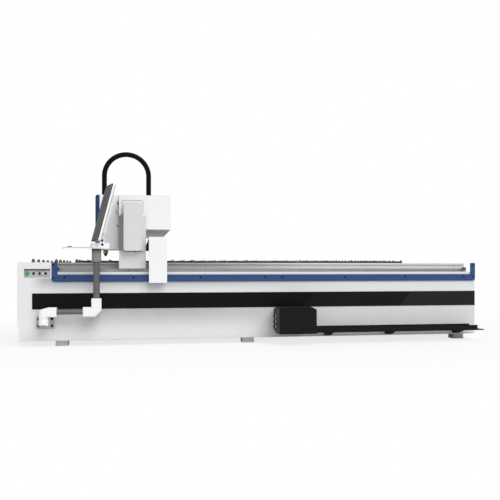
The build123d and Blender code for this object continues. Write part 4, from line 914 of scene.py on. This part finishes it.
def ball_roller(radius: float, height: float, ball: float) -> tuple[Shell, Shell]:
    """Pressed steel cup with a rolled lip, and the ball that stands out of it.

    Args:
        radius: the cup's radius at its foot.
        height: from the deck to the lip.
        ball: how far the ball stands above the lip.

    Returns:
        The cup and the ball, about the origin.
    """
    lip = ball * 1.12
    cup = [
        (radius, 0.0),
        (radius, height * 0.30),
        (radius * 0.93, height * 0.36),
        (radius * 0.86, height * 0.42),
        (lip * 1.05, height * 0.90),
        (lip * 1.02, height * 0.98),
        (lip * 0.96, height),
        (lip * 0.90, height * 0.98),
    ]
    size = ball * 1.05
    angle = np.radians(np.linspace(-25, 88, 9))
    middle = height + ball - size
    crown = list(zip(size * np.cos(angle), middle + size * np.sin(angle)))
    return turned(cup, 18), turned(crown, 18)


def facing(direction: Side) -> Matrix:
    """Turns what stands along +Z to stand out of the near or far side."""
    return Matrix.Rotation(math.radians(90 if direction is Side.NEAR else -90), 4, "X")


AXES_ON = Matrix(((0, 0, 1, 0), (1, 0, 0, 0), (0, 1, 0, 0), (0, 0, 0, 1)))


@dataclass
class Studio:
    """Floor, light and the photograph's camera."""

    camera_place: Point = (-1.3458, -8.0868, 0.800)
    camera_turn: float = -9.935
    lens: float = 48.24
    shift: float = 0.0372
    world_level: float = 0.55
    key_level: float = 1.9
    key_from: Point = (0.30, -0.72, 0.80)
    key_spread: float = 40.0
    floor_half: float = 60.0

    def build(self) -> None:
        """Makes the camera, the world, the key light and the floor."""
        scene = bpy.context.scene
        scene.view_settings.view_transform = "Standard"
        self.make_camera(scene)
        self.make_world(scene)
        self.make_key(scene)
        self.make_floor(scene)

    def make_camera(self, scene: bpy.types.Scene) -> None:
        """A level camera, turned a little along the bed.

        Args:
            scene: the scene.
        """
        data = bpy.data.cameras.new("camera")
        data.lens = self.lens
        data.sensor_width = 36.0
        data.shift_y = self.shift
        data.clip_end = 200.0
        camera = bpy.data.objects.new("camera", data)
        camera.location = self.camera_place
        camera.rotation_euler = (math.radians(90), 0, math.radians(self.camera_turn))
        scene.collection.objects.link(camera)
        scene.camera = camera

    def make_world(self, scene: bpy.types.Scene) -> None:
        """A plain world: white where it is seen or mirrored, dimmer as light.

        Args:
            scene: the scene.
        """
        world = bpy.data.worlds.new("plain_world")
        scene.world = world
        world.use_nodes = True
        tree = world.node_tree
        tree.nodes.clear()
        path = tree.nodes.new("ShaderNodeLightPath")
        seen = tree.nodes.new("ShaderNodeMath")
        seen.operation = "MAXIMUM"
        tree.links.new(path.outputs["Is Camera Ray"], seen.inputs[0])
        tree.links.new(path.outputs["Is Transmission Ray"], seen.inputs[1])
        white = tree.nodes.new("ShaderNodeBackground")
        white.inputs["Strength"].default_value = 1.0
        light = tree.nodes.new("ShaderNodeBackground")
        light.inputs["Color"].default_value = (1.0, 1.0, 1.0, 1.0)
        light.inputs["Strength"].default_value = self.world_level
        white.inputs["Color"].default_value = (1.0, 1.0, 1.0, 1.0)
        mix = tree.nodes.new("ShaderNodeMixShader")
        out = tree.nodes.new("ShaderNodeOutputWorld")
        tree.links.new(seen.outputs[0], mix.inputs[0])
        tree.links.new(light.outputs[0], mix.inputs[1])
        tree.links.new(white.outputs[0], mix.inputs[2])
        tree.links.new(mix.outputs[0], out.inputs["Surface"])

    def make_key(self, scene: bpy.types.Scene) -> None:
        """A soft sun from the upper right of the operator's side.

        Args:
            scene: the scene.
        """
        data = bpy.data.lights.new("key", "SUN")
        data.energy = self.key_level
        data.angle = math.radians(self.key_spread)
        key = bpy.data.objects.new("key", data)
        key.rotation_mode = "QUATERNION"
        key.rotation_quaternion = Vector(self.key_from).to_track_quat("Z", "Y")
        scene.collection.objects.link(key)

    def make_floor(self, scene: bpy.types.Scene) -> None:
        """A white floor that keeps a faint shadow near the machine and fades to plain white.

        Args:
            scene: the scene.
        """
        half = self.floor_half
        mesh = bpy.data.meshes.new("floor")
        mesh.from_pydata([(-half, -half, 0), (half, -half, 0), (half, half, 0), (-half, half, 0)], [], [(0, 1, 2, 3)])
        floor = bpy.data.objects.new("floor", mesh)
        scene.collection.objects.link(floor)
        shader = Shader("white_floor")
        shader.dress(Base_Color=(0.86, 0.86, 0.86), Roughness=0.9)
        path = shader.node("ShaderNodeLightPath")
        glow = shader.node("ShaderNodeEmission", {}, {"Color": (1.0, 1.0, 1.0), "Strength": 1.0})
        across = shader.height(0)
        along = shader.height(1)
        distance = (across * across * 0.35 + along * along) ** 0.5
        plain = distance.fade(1.2, 4.5) * 0.22 + 0.78
        amount = Field(shader, path.outputs["Is Camera Ray"]) * plain
        mixed = shader.node("ShaderNodeMixShader", {}, {0: amount, 1: shader.surface.outputs[0], 2: glow.outputs[0]})
        shader.tree.links.new(mixed.outputs[0], shader.output.inputs["Surface"])
        mesh.materials.append(shader.material)
        floor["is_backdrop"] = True


@dataclass
class Bed:
    """The bed with its covers, table, rails and feet."""

    shop: Workshop
    screw_radius: float = 0.0100
    screw_height: float = 0.004
    screw_steps: Sequence[float] = (-2.033, -1.337, -0.638, 0.057, 0.253, 0.954, 1.659, 2.362)
    post_screws: Sequence[tuple[float, float]] = ((-2.146, 0.837), (-2.146, 0.704), (2.475, 0.852), (2.475, 0.711))
    deck: float = 0.864
    middle_y: float = 0.158
    roller_pitch: float = 0.4
    roller_rows: Sequence[tuple[float, int]] = ((-2.362, 6), (-2.151, 5), (-1.940, 5))
    deck_roller: Point = (0.020, 0.026, 0.013)
    side_roller: Point = (0.013, 0.024, 0.009)
    side_roller_y: Sequence[float] = (-0.7475, 1.0635)
    side_rollers: Sequence[float] = (-1.31, -0.705, -0.10, 0.505, 1.11, 1.715)
    wall_y: tuple[float, float] = (-0.742, 1.058)
    seam_steps: Sequence[float] = (-2.002, 2.374, 2.493)
    seam_levels: tuple[float, float] = (0.772, 0.846)
    gland_y: Sequence[float] = (-1.165,)
    gland_z: Sequence[float] = (0.190, 0.245, 0.300)
    recess_y: float = -0.986
    recess_top: float = 0.796
    rack_centre: float = -1.347
    rack_width: float = 0.028

    def build(self) -> None:
        """Paints the nodes and adds the small pieces."""
        shop = self.shop
        shop.paint(WHITE, "side_beams", "cross_members", "front_cover", "front_deck", "rear_cover")
        shop.paint(SIDE_WHITE, "near_side_panel", "far_side_panel")
        shop.paint(WALL_WHITE, "rail_walls")
        shop.paint(RECESS_GREY, "button_panel")
        shop.paint(CONSOLE_WHITE, "arm_base")
        shop.paint(BAND, "side_stripes")
        shop.paint(BLUE, "near_rail_covers", "far_rail_covers")
        shop.paint(GROUND_STEEL, "guide_rails")
        shop.paint(RUBBER, "rail_end_stops")
        shop.paint(FOOT_GREY, "levelling_feet")
        shop.paint(COMB, "slat_frame")
        shop.paint(SLAT, "slats")
        shop.paint(TRAY_STEEL, "scrap_tray")
        shop.paint(BLACK, "junction_box", "cable_tray")
        shop.paint(GREY, "arm_flange")
        shop.soften(0.003, "front_cover", "rear_cover", "near_rail_covers", "far_rail_covers", "levelling_feet")
        shop.soften(0.003, "junction_box", "arm_base")
        shop.soften(0.0015, "arm_flange", "button_panel")
        self.add_cover_screws()
        self.add_flange_bolts()
        self.add_rollers()
        self.add_racks()
        self.add_seams()
        self.add_glands()

    def add_cover_screws(self) -> None:
        """Dark pan-head screws along the blue covers, on both sides."""
        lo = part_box("near_rail_covers")[0]
        far_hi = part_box("far_rail_covers")[1]
        row_z = lo[2] + 0.045
        places = [(x, row_z) for x in self.screw_steps] + list(self.post_screws)
        head = pan_head(self.screw_radius, self.screw_height)
        near = head.placed(facing(Side.NEAR)).repeated([(x, lo[1] + 0.0002, z) for x, z in places])
        far = head.placed(facing(Side.FAR)).repeated([(x, far_hi[1] - 0.0002, z) for x, z in places])
        self.shop.add("cover_screws", near.with_more(far), SCREW_STEEL, "bed", slot="bare_steel")

    def add_flange_bolts(self) -> None:
        """Four dark hexagon bolts on the arm's flange."""
        lo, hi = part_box("arm_flange")
        middle_x = (lo[0] + hi[0]) / 2
        middle_z = (lo[2] + hi[2]) / 2
        head = hexagon_head(0.0095, 0.009).placed(facing(Side.NEAR))
        places = [
            (middle_x + side_x * 0.066, lo[1] + 0.0002, middle_z + side_z * 0.036)
            for side_x in (-1, 1)
            for side_z in (-1, 1)
        ]
        self.shop.add("flange_bolts", head.repeated(places), SCREW_STEEL, "bed", slot="bare_steel")

    def add_rollers(self) -> None:
        """Cups and balls of the rollers on the decks and on both walls."""
        places = []
        for x, count in self.roller_rows:
            offsets = (np.arange(count) - (count - 1) / 2) * self.roller_pitch
            places += [(x, self.middle_y + float(y), self.deck) for y in offsets]
        side_places = [(x, y, self.deck) for y in self.side_roller_y for x in self.side_rollers]
        cup, ball = ball_roller(*self.deck_roller)
        side_cup, side_ball = ball_roller(*self.side_roller)
        cups = cup.repeated(places).with_more(side_cup.repeated(side_places))
        balls = ball.repeated(places).with_more(side_ball.repeated(side_places))
        self.shop.add("roller_cups", cups, BLOCK_STEEL, "bed", ["ball_rollers"], "bare_steel")
        self.shop.add("roller_balls", balls, BLOCK_STEEL, "bed", ["ball_rollers"], "bare_steel")

    def add_seams(self) -> None:
        """Joint strips between the rail walls' sheets, and a dark rubber strip along the top of the button recess that
        paints the shadow under its lip.
        """
        low, top = self.seam_levels
        strip = pillow((0.006, 0.0014, top - low), 0.0005, 0.0003)
        middle_z = (low + top) / 2
        near = [(x, self.wall_y[0] - 0.0006, middle_z) for x in self.seam_steps]
        far = [(x, self.wall_y[1] + 0.0006, middle_z) for x in self.seam_steps]
        self.shop.add("wall_joint_strips", strip.repeated(near + far), GREY, "bed", slot="grey_paint")
        panel_lo, panel_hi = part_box("button_panel")
        # Painted shadow: a dark rubber strip under the recess's top edge.
        shadow_strip = pillow((panel_hi[0] - panel_lo[0] - 0.010, 0.010, 0.009), 0.003, 0.001)
        place = ((panel_lo[0] + panel_hi[0]) / 2, self.recess_y, self.recess_top - 0.0065)
        self.shop.add("recess_shadow_strip", shadow_strip.repeated([place]), RUBBER, "bed", slot="black_plastic")

    def add_glands(self) -> None:
        """Cable glands on the junction box's end face, and a bright hexagon nut on each."""
        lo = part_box("junction_box")[0]
        outward = Matrix.Rotation(math.radians(-90), 4, "Y")
        gland = turned(
            [(0.012, 0.0), (0.012, 0.012), (0.010, 0.016), (0.010, 0.024), (0.007, 0.028), (0.0005, 0.028)]
        )
        nut = turned([(0.018, 0.0), (0.018, 0.006), (0.016, 0.008), (0.0125, 0.008)], 6)
        places = [(lo[0] + 0.0003, y, z) for y in self.gland_y for z in self.gland_z]
        self.shop.add("gland_nuts", nut.placed(outward).repeated(places), RING, "bed", slot="bare_steel")
        self.shop.add("cable_glands", gland.placed(outward).repeated(places), CONDUIT, "bed", slot="black_plastic")

    def add_racks(self) -> None:
        """Toothed racks beside the rails, in step with the pinions."""
        lo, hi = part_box("drive_racks")
        levels = (lo[2], hi[2])
        bars = []
        for edge, back in ((lo[1], lo[1] + self.rack_width), (hi[1], hi[1] - self.rack_width)):
            inward = math.copysign(1.0, back - edge)
            sides = (edge - inward * ADDENDUM, edge + inward * DEDENDUM, back)
            bars.append(toothed_bar((lo[0], hi[0]), self.rack_centre, TOOTH_PITCH, sides, levels))
        self.shop.add("toothed_racks", bars[0].with_more(bars[1]), GROUND_STEEL, "bed", ["drive_racks"], "bare_steel")


@dataclass
class Gantry:
    """The gantry with its beam, legs, covers and drives."""

    shop: Workshop
    teeth: int = 32
    pitch_radius: float = 0.032
    gear_height: float = 0.026
    shaft_radius: float = 0.011
    flange_x: float = -1.347
    flange_width: float = 0.222
    flange_height: float = 0.306
    rack_phase: float = 0.505 - NEAR_SIDE
    flank_run: float = 0.052
    flank_low: float = 0.990
    flank_top: float = 1.380
    middle_y: float = 0.158

    def build(self) -> None:
        """Paints the nodes and adds the small pieces."""
        shop = self.shop
        shop.paint(GANTRY_WHITE, "gantry_beam", "cable_trough", "drive_cover")
        shop.paint(LEG_WHITE, "near_end_plate", "far_end_plate", "near_motor_cover", "far_motor_cover")
        shop.paint(BLACK, "cover_bracket")
        shop.paint(RUNNER_STEEL, "guide_blocks")
        shop.paint(CROSS_STEEL, "beam_rails")
        shop.paint(MOTOR, "drive_motors")
        shop.soften(0.004, "gantry_beam", "cable_trough", "drive_cover")
        shop.soften(0.002, "near_end_plate", "far_end_plate", "cover_bracket", "guide_blocks", "drive_motors")
        self.add_pinions()
        self.add_gasket()
        self.add_flanks()
        self.add_beam_rack()

    def add_pinions(self) -> None:
        """Toothed pinions on their shafts, each in step with its rack."""
        half_pitch = math.pi / self.teeth
        for node, body, towards_rack in (
            ("near_pinion", "near_drive", math.pi / 2),
            ("far_pinion", "far_drive", -math.pi / 2),
        ):
            lo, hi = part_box(node)
            low = lo[2]
            top = low + self.gear_height
            tip = self.pitch_radius + ADDENDUM
            root = self.pitch_radius - DEDENDUM
            wheel = gear(self.teeth, tip, root, towards_rack + half_pitch, low, top)
            shaft = turned([(self.shaft_radius, top - 0.001), (self.shaft_radius, hi[2])])
            place = Matrix.Translation(((lo[0] + hi[0]) / 2, (lo[1] + hi[1]) / 2, 0.0))
            shape = wheel.with_more(shaft).placed(place)
            self.shop.add(f"{node}_toothed", shape, GROUND_STEEL, body, [node], "bare_steel", 20.0)

    def add_gasket(self) -> None:
        """Grey sealing strip round each of the beam's end flanges."""
        lo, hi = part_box("gantry_beam")
        low = lo[2] + 0.010
        width = self.flange_width
        height = self.flange_height
        strip = rim(
            (
                (width, height, 0.018, 0.0),
                (width, height, 0.018, 0.0012),
                (width - 0.013, height - 0.013, 0.012, 0.0012),
                (width - 0.013, height - 0.013, 0.012, 0.0),
            )
        )
        for side, face in ((Side.NEAR, lo[1]), (Side.FAR, hi[1])):
            place = Matrix.Translation((self.flange_x, face, low + height / 2)) @ facing(side)
            self.shop.add(f"flange_seal_{side.name.lower()}", strip.placed(place), GREY, "gantry", slot="grey_paint")

    def add_flanks(self) -> None:
        """Sloping sheets from the leg's edges to the motor cover, with slanted shoulders. The left ones are dark grey
        as painted shade; the right ones take the leg's white.
        """
        plate_lo, plate_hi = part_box("near_end_plate")
        cover_lo, cover_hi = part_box("near_motor_cover")
        run = self.flank_run
        shapes = []
        for edge, inner in ((plate_lo[0] + 0.002, cover_lo[0] + 0.001), (plate_hi[0] - 0.002, cover_hi[0] - 0.001)):
            rows = []
            for level, reach in ((self.flank_low, 1.0), (self.flank_top - 0.03, 1.0), (self.flank_top, 0.25)):
                out = inner + (edge - inner) * reach
                front = plate_lo[1] - run * (0.35 + 0.65 * reach)
                rows.append([(out, plate_lo[1] + 0.001, level), (out, plate_lo[1] - 0.004, level)])
                rows[-1] += [(inner, front, level), (inner, plate_lo[1] + 0.001, level)]
            shapes.append(Shell.from_grid(np.array(rows)))
        mirror = Matrix.Translation((0.0, 2 * self.middle_y, 0.0)) @ Matrix.Diagonal((1.0, -1.0, 1.0, 1.0))
        # Painted shade: the left flanks take dark grey, the right ones the leg's white.
        for name, near, finish, slot in (
            ("front_flanks", shapes[0], FLANK_PAINTED_SHADE, "grey_paint"),
            ("rear_flanks", shapes[1], LEG_WHITE, "white_paint"),
        ):
            both = near.with_more(near.placed(mirror))
            self.shop.add(name, both, finish, "gantry", slot=slot, sharp=20.0)

    def add_beam_rack(self) -> None:
        """Toothed rack along the beam, teeth down."""
        lo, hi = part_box("beam_rack")
        sides = (lo[2] - ADDENDUM, lo[2] + DEDENDUM, hi[2])
        bar = toothed_bar((lo[1], hi[1]), self.rack_phase, TOOTH_PITCH, sides, (lo[0], hi[0]))
        self.shop.add("toothed_beam_rack", bar.placed(AXES_ON), CROSS_STEEL, "gantry", ["beam_rack"], "bare_steel")


@dataclass
class Carriage:
    """The carriage with its covers, drives, conduit and cutting head."""

    shop: Workshop
    teeth: int = 26
    pitch_radius: float = 0.026
    gear_face: float = 0.022
    shaft_radius: float = 0.011
    conduit_radius: float = 0.027
    conduit_foot: float = 1.592

    def build(self) -> None:
        """Paints the nodes and adds the small pieces."""
        shop = self.shop
        shop.paint(GANTRY_WHITE, "head_cover")
        shop.paint(HEAD_BLUE, "head_front_cover")
        shop.paint(BLOCK_STEEL, "carriage_blocks", "cable_carrier")
        shop.paint(ALUMINIUM, "carriage_plate", "lift_plate", "cutting_head")
        shop.paint(MOTOR, "axis_motors")
        shop.paint(GROUND_STEEL, "lift_screw")
        shop.paint(CONDUIT, "cable_arch")
        shop.soften(0.004, "head_cover")
        shop.soften(0.0015, "carriage_plate", "lift_plate", "cutting_head", "carriage_blocks")
        self.add_pinion()
        self.add_nozzle()
        self.add_collars()

    def add_pinion(self) -> None:
        """Toothed pinion of the traverse drive, on its shaft."""
        lo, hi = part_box("traverse_pinion")
        face = hi[0] - self.gear_face
        tip = self.pitch_radius + ADDENDUM
        root = self.pitch_radius - DEDENDUM
        wheel = gear(self.teeth, tip, root, math.pi / 2 + math.pi / self.teeth, face, hi[0])
        shaft = turned([(self.shaft_radius, lo[0]), (self.shaft_radius, face + 0.001)])
        place = Matrix.Translation((0.0, (lo[1] + hi[1]) / 2, (lo[2] + hi[2]) / 2)) @ AXES_ON
        shape = wheel.with_more(shaft).placed(place)
        self.shop.add("traverse_gear", shape, GROUND_STEEL, "traverse_drive", ["traverse_pinion"], "bare_steel", 20.0)

    def add_nozzle(self) -> None:
        """Brass nozzle: knurled nut, rounded taper and bored tip."""
        lo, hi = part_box("nozzle")
        radius = (hi[0] - lo[0]) / 2
        top = hi[2]
        profile = [
            (0.003, top),
            (radius * 0.96, top),
            (radius, top - 0.002),
            (radius, top - 0.019),
            (radius * 0.96, top - 0.023),
            (radius * 0.90, top - 0.033),
            (radius * 0.78, top - 0.043),
            (radius * 0.62, top - 0.052),
            (radius * 0.44, top - 0.060),
            (0.0085, lo[2] + 0.002),
            (0.0070, lo[2] + 0.0003),
            (0.0050, lo[2]),
            (0.003, lo[2]),
            (0.003, top),
        ]
        place = Matrix.Translation(((lo[0] + hi[0]) / 2, (lo[1] + hi[1]) / 2, 0.0))
        shape = turned(profile, 36, hollow=True).placed(place)
        self.shop.add("turned_nozzle", shape, BRASS, "head", ["nozzle"], "nozzle_brass", 50.0)

    def add_collars(self) -> None:
        """Black collar round the conduit's foot on the white cover."""
        lo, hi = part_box("cable_arch")
        radius = self.conduit_radius
        collar = turned(
            [
                (radius + 0.001, 0.0),
                (radius + 0.011, 0.0),
                (radius + 0.011, 0.008),
                (radius + 0.007, 0.014),
                (radius + 0.001, 0.014),
                (radius + 0.001, 0.0),
            ],
            28,
            hollow=True,
        )
        places = [(lo[0] + radius, (lo[1] + hi[1]) / 2, self.conduit_foot)]
        self.shop.add("conduit_collar", collar.repeated(places), SCREW_STEEL, "carriage", slot="black_plastic")


@dataclass
class OperatorArm:
    """The swinging arm, the console and the monitor."""

    shop: Workshop
    post: tuple[float, float] = (-1.706, -1.142)
    yaw: float = 13.0
    lean: float = 14.8
    monitor: Point = (0.330, 0.590, 0.012)
    monitor_foot: tuple[float, float] = (-0.026, 1.081)
    border: float = 0.016
    back: float = 0.030
    back_margin: float = 0.004
    trim_width: float = 0.008
    back_box: Point = (0.220, 0.085, 0.400)
    sleeve_radius: float = 0.0472
    bracket_face: float = 0.0599
    pad: Point = (-0.262, 0.040, 1.0195)

    def build(self) -> None:
        """Paints the nodes and adds the small pieces."""
        shop = self.shop
        shop.paint(CONSOLE_WHITE, "arm_elbow", "arm_corner", "console", "monitor_housing")
        shop.paint(TUBE_GREY, "arm_tubes")
        shop.paint(GLASS, "monitor_screen")
        shop.soften(0.003, "arm_elbow", "arm_corner")
        shop.soften(0.0015, "console", "monitor_housing")
        self.add_sleeve()
        self.add_bezel()
        self.add_back_trim()
        self.add_bolts()
        self.add_keyboard()

    def at_console(self) -> Matrix:
        """Where the console's own axes are at rest."""
        return Matrix.Translation((*self.post, 0.0)) @ Matrix.Rotation(math.radians(self.yaw), 4, "Z")

    def at_monitor(self) -> Matrix:
        """The monitor's front face, with Z out of the screen and Y up along it."""
        foot = Matrix.Translation((self.monitor_foot[0], 0.0, self.monitor_foot[1]))
        upright = Matrix(((0, 0, -1, 0), (-1, 0, 0, 0), (0, 1, 0, 0), (0, 0, 0, 1)))
        return self.at_console() @ foot @ Matrix.Rotation(math.radians(self.lean), 4, "Y") @ upright

    def add_sleeve(self) -> None:
        """Grey sleeve round the post's swivel, with a lip at each end."""
        radius = self.sleeve_radius
        profile = [
            (radius - 0.003, 0.8726),
            (radius + 0.001, 0.8735),
            (radius + 0.001, 0.8800),
            (radius, 0.8812),
            (radius, 0.9930),
            (radius + 0.001, 0.9940),
            (radius + 0.001, 1.0000),
            (radius - 0.003, 1.0008),
            (radius - 0.003, 0.8726),
        ]
        shape = turned(profile, 40, hollow=True).placed(Matrix.Translation((*self.post, 0.0)))
        self.shop.add("grey_sleeve", shape, SLEEVE_GREY, "console_unit", slot="grey_paint")

    def add_bezel(self) -> None:
        """Dark front frame of the monitor, rounded at its outer edge."""
        width, height, depth = self.monitor
        inner_width = width - 2 * self.border
        inner_height = height - 2 * self.border
        frame = rim(
            (
                (width + 0.0006, height + 0.0006, 0.0103, -depth - 0.0002),
                (width + 0.0006, height + 0.0006, 0.0103, -0.0016),
                (width - 0.0006, height - 0.0006, 0.0097, -0.0003),
                (width - 0.0034, height - 0.0034, 0.0083, 0.0002),
                (inner_width + 0.002, inner_height + 0.002, 0.0030, 0.0002),
                (inner_width - 0.0002, inner_height - 0.0002, 0.0020, -0.0006),
                (inner_width - 0.0002, inner_height - 0.0002, 0.0020, -0.0048),
                (inner_width + 0.0004, inner_height + 0.0004, 0.0020, -0.0048),
            )
        )
        shape = frame.placed(self.at_monitor() @ Matrix.Translation((0.0, height / 2, 0.0)))
        self.shop.add("monitor_bezel", shape, BEZEL_GREY, "monitor", slot="grey_paint")

    def add_back_trim(self) -> None:
        """Grey trim round the rear edge of the monitor's back that paints the shade on that edge, and a dark rubber
        ring round the box on it that paints the shadow line at the box's edge.
        """
        width, height, depth = self.monitor
        wide = width - 2 * self.back_margin
        high = height - 2 * self.back_margin
        back = -depth - self.back
        inner_wide = wide - 2 * self.trim_width
        inner_high = high - 2 * self.trim_width
        # Painted shade: a grey trim round the back's rear edge.
        trim = rim(
            (
                (wide + 0.0010, high + 0.0010, 0.0060, back + self.trim_width),
                (wide + 0.0010, high + 0.0010, 0.0060, back + 0.0006),
                (wide - 0.0004, high - 0.0004, 0.0055, back - 0.0006),
                (inner_wide, inner_high, 0.0040, back - 0.0006),
                (inner_wide, inner_high, 0.0040, back + 0.0010),
                (wide - 0.0040, high - 0.0040, 0.0050, back + self.trim_width),
            )
        )
        place = self.at_monitor() @ Matrix.Translation((0.0, height / 2, 0.0))
        self.shop.add("back_edge_shade_trim", trim.placed(place), GREY, "monitor", slot="grey_paint", sharp=25.0)
        box_wide, box_low, box_top = self.back_box
        box_high = box_top - box_low
        # Painted shadow: a dark rubber ring round the box's edge.
        shadow_strip = rim(
            (
                (box_wide + 0.0050, box_high + 0.0050, 0.0030, back + 0.0002),
                (box_wide + 0.0050, box_high + 0.0050, 0.0030, back - 0.0070),
                (box_wide + 0.0004, box_high + 0.0004, 0.0020, back - 0.0070),
                (box_wide + 0.0004, box_high + 0.0004, 0.0020, back + 0.0002),
            )
        )
        place = self.at_monitor() @ Matrix.Translation((0.0, (box_low + box_top) / 2, 0.0))
        self.shop.add("back_box_shadow_strip", shadow_strip.placed(place), RUBBER, "monitor", slot="black_plastic")

    def add_bolts(self) -> None:
        """Dark socket bolts at the tilt pivot and in the bracket, on both faces."""
        head = pan_head(0.0125, 0.006)
        for name, x, z in (("pivot_bolts", 0.046, 1.083), ("bracket_bolts", 0.048, 1.042)):
            near = head.placed(facing(Side.NEAR)).repeated([(x, -self.bracket_face, z)])
            far = head.placed(facing(Side.FAR)).repeated([(x, self.bracket_face, z)])
            both = near.with_more(far).placed(self.at_console())
            self.shop.add(name, both, SCREW_STEEL, "console_unit", slot="bare_steel")

    def add_keyboard(self) -> None:
        """Small dark pointing pad on the shelf."""
        pad = pillow((0.040, 0.070, 0.012), 0.006, 0.003)
        place = self.at_console() @ Matrix.Translation(self.pad)
        self.shop.add("pointing_pad", pad.placed(place), SCREW_STEEL, "console_unit", slot="black_plastic")


@dataclass
class PushButtons:
    """The four push buttons in their recess, and the rings round them."""

    shop: Workshop
    cap: float = 0.0070
    stem: float = 0.008
    recess_floor: float = 0.012 - NEAR_SIDE
    bodies: Sequence[tuple[str, str]] = (
        ("green_button", "green_push"),
        ("left_black_button", "left_push"),
        ("middle_black_button", "middle_push"),
        ("right_black_button", "right_push"),
    )

    def build(self) -> None:
        """Adds the caps and their rings."""
        rings = []
        for node, body in self.bodies:
            lo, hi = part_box(node)
            radius = (hi[0] - lo[0]) / 2
            middle = ((lo[0] + hi[0]) / 2, (lo[2] + hi[2]) / 2)
            finish, slot = (GREEN, "green_plastic") if node == "green_button" else (BUTTON_BLACK, "black_plastic")
            place = Matrix.Translation((middle[0], hi[1], middle[1])) @ facing(Side.NEAR)
            shape = self.button(radius, hi[1] - lo[1]).placed(place)
            self.shop.add(f"{node}_cap", shape, finish, body, [node], slot)
            seat = Matrix.Translation((middle[0], self.recess_floor, middle[1])) @ facing(Side.NEAR)
            rings.append(self.ring(radius).placed(seat))
        self.shop.add("button_rings", rings[0].with_more(*rings[1:]), RING, "bed", slot="bare_steel")

    def button(self, radius: float, length: float) -> Shell:
        """Cap with a rounded edge and a slightly hollow face, on its stem.

        Args:
            radius: the cap's radius.
            length: from the stem's end to the cap's face.

        Returns:
            The button, standing along +Z.
        """
        low = length - self.cap
        profile = [
            (self.stem, 0.0),
            (self.stem, low),
            (radius, low),
            (radius, length - 0.0035),
            (radius * 0.97, length - 0.0015),
            (radius * 0.90, length - 0.0003),
            (radius * 0.82, length),
            (radius * 0.60, length - 0.0008),
            (0.0005, length - 0.0012),
        ]
        return turned(profile, 32)

    def ring(self, radius: float) -> Shell:
        """Bright ring round one button.

        Args:
            radius: the button's radius.

        Returns:
            The ring, standing along +Z.
        """
        inner = radius + 0.0007
        outer = radius + 0.0052
        profile = [
            (inner, 0.0005),
            (inner, 0.0040),
            (inner + 0.0010, 0.0050),
            (outer - 0.0015, 0.0045),
            (outer, 0.0025),
            (outer, 0.0005),
            (inner, 0.0005),
        ]
        return turned(profile, 32, hollow=True)


def corners() -> list[list[float]]:
    """The shown object's lowest and highest corner as plain numbers."""
    return [[float(part) for part in corner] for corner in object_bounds()]


def main() -> None:
    """Builds the machine's sub-assemblies in order."""
    logging.basicConfig(level=logging.INFO, format="%(name)s %(message)s")
    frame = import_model()
    Studio().build()
    shop = Workshop(frame)
    for part in (Bed(shop), PushButtons(shop), Gantry(shop), Carriage(shop), OperatorArm(shop)):
        part.build()
        log.info("%s is dressed", type(part).__name__)
    log.info("%d new pieces", shop.count)


if __name__ == "__main__":
    main()
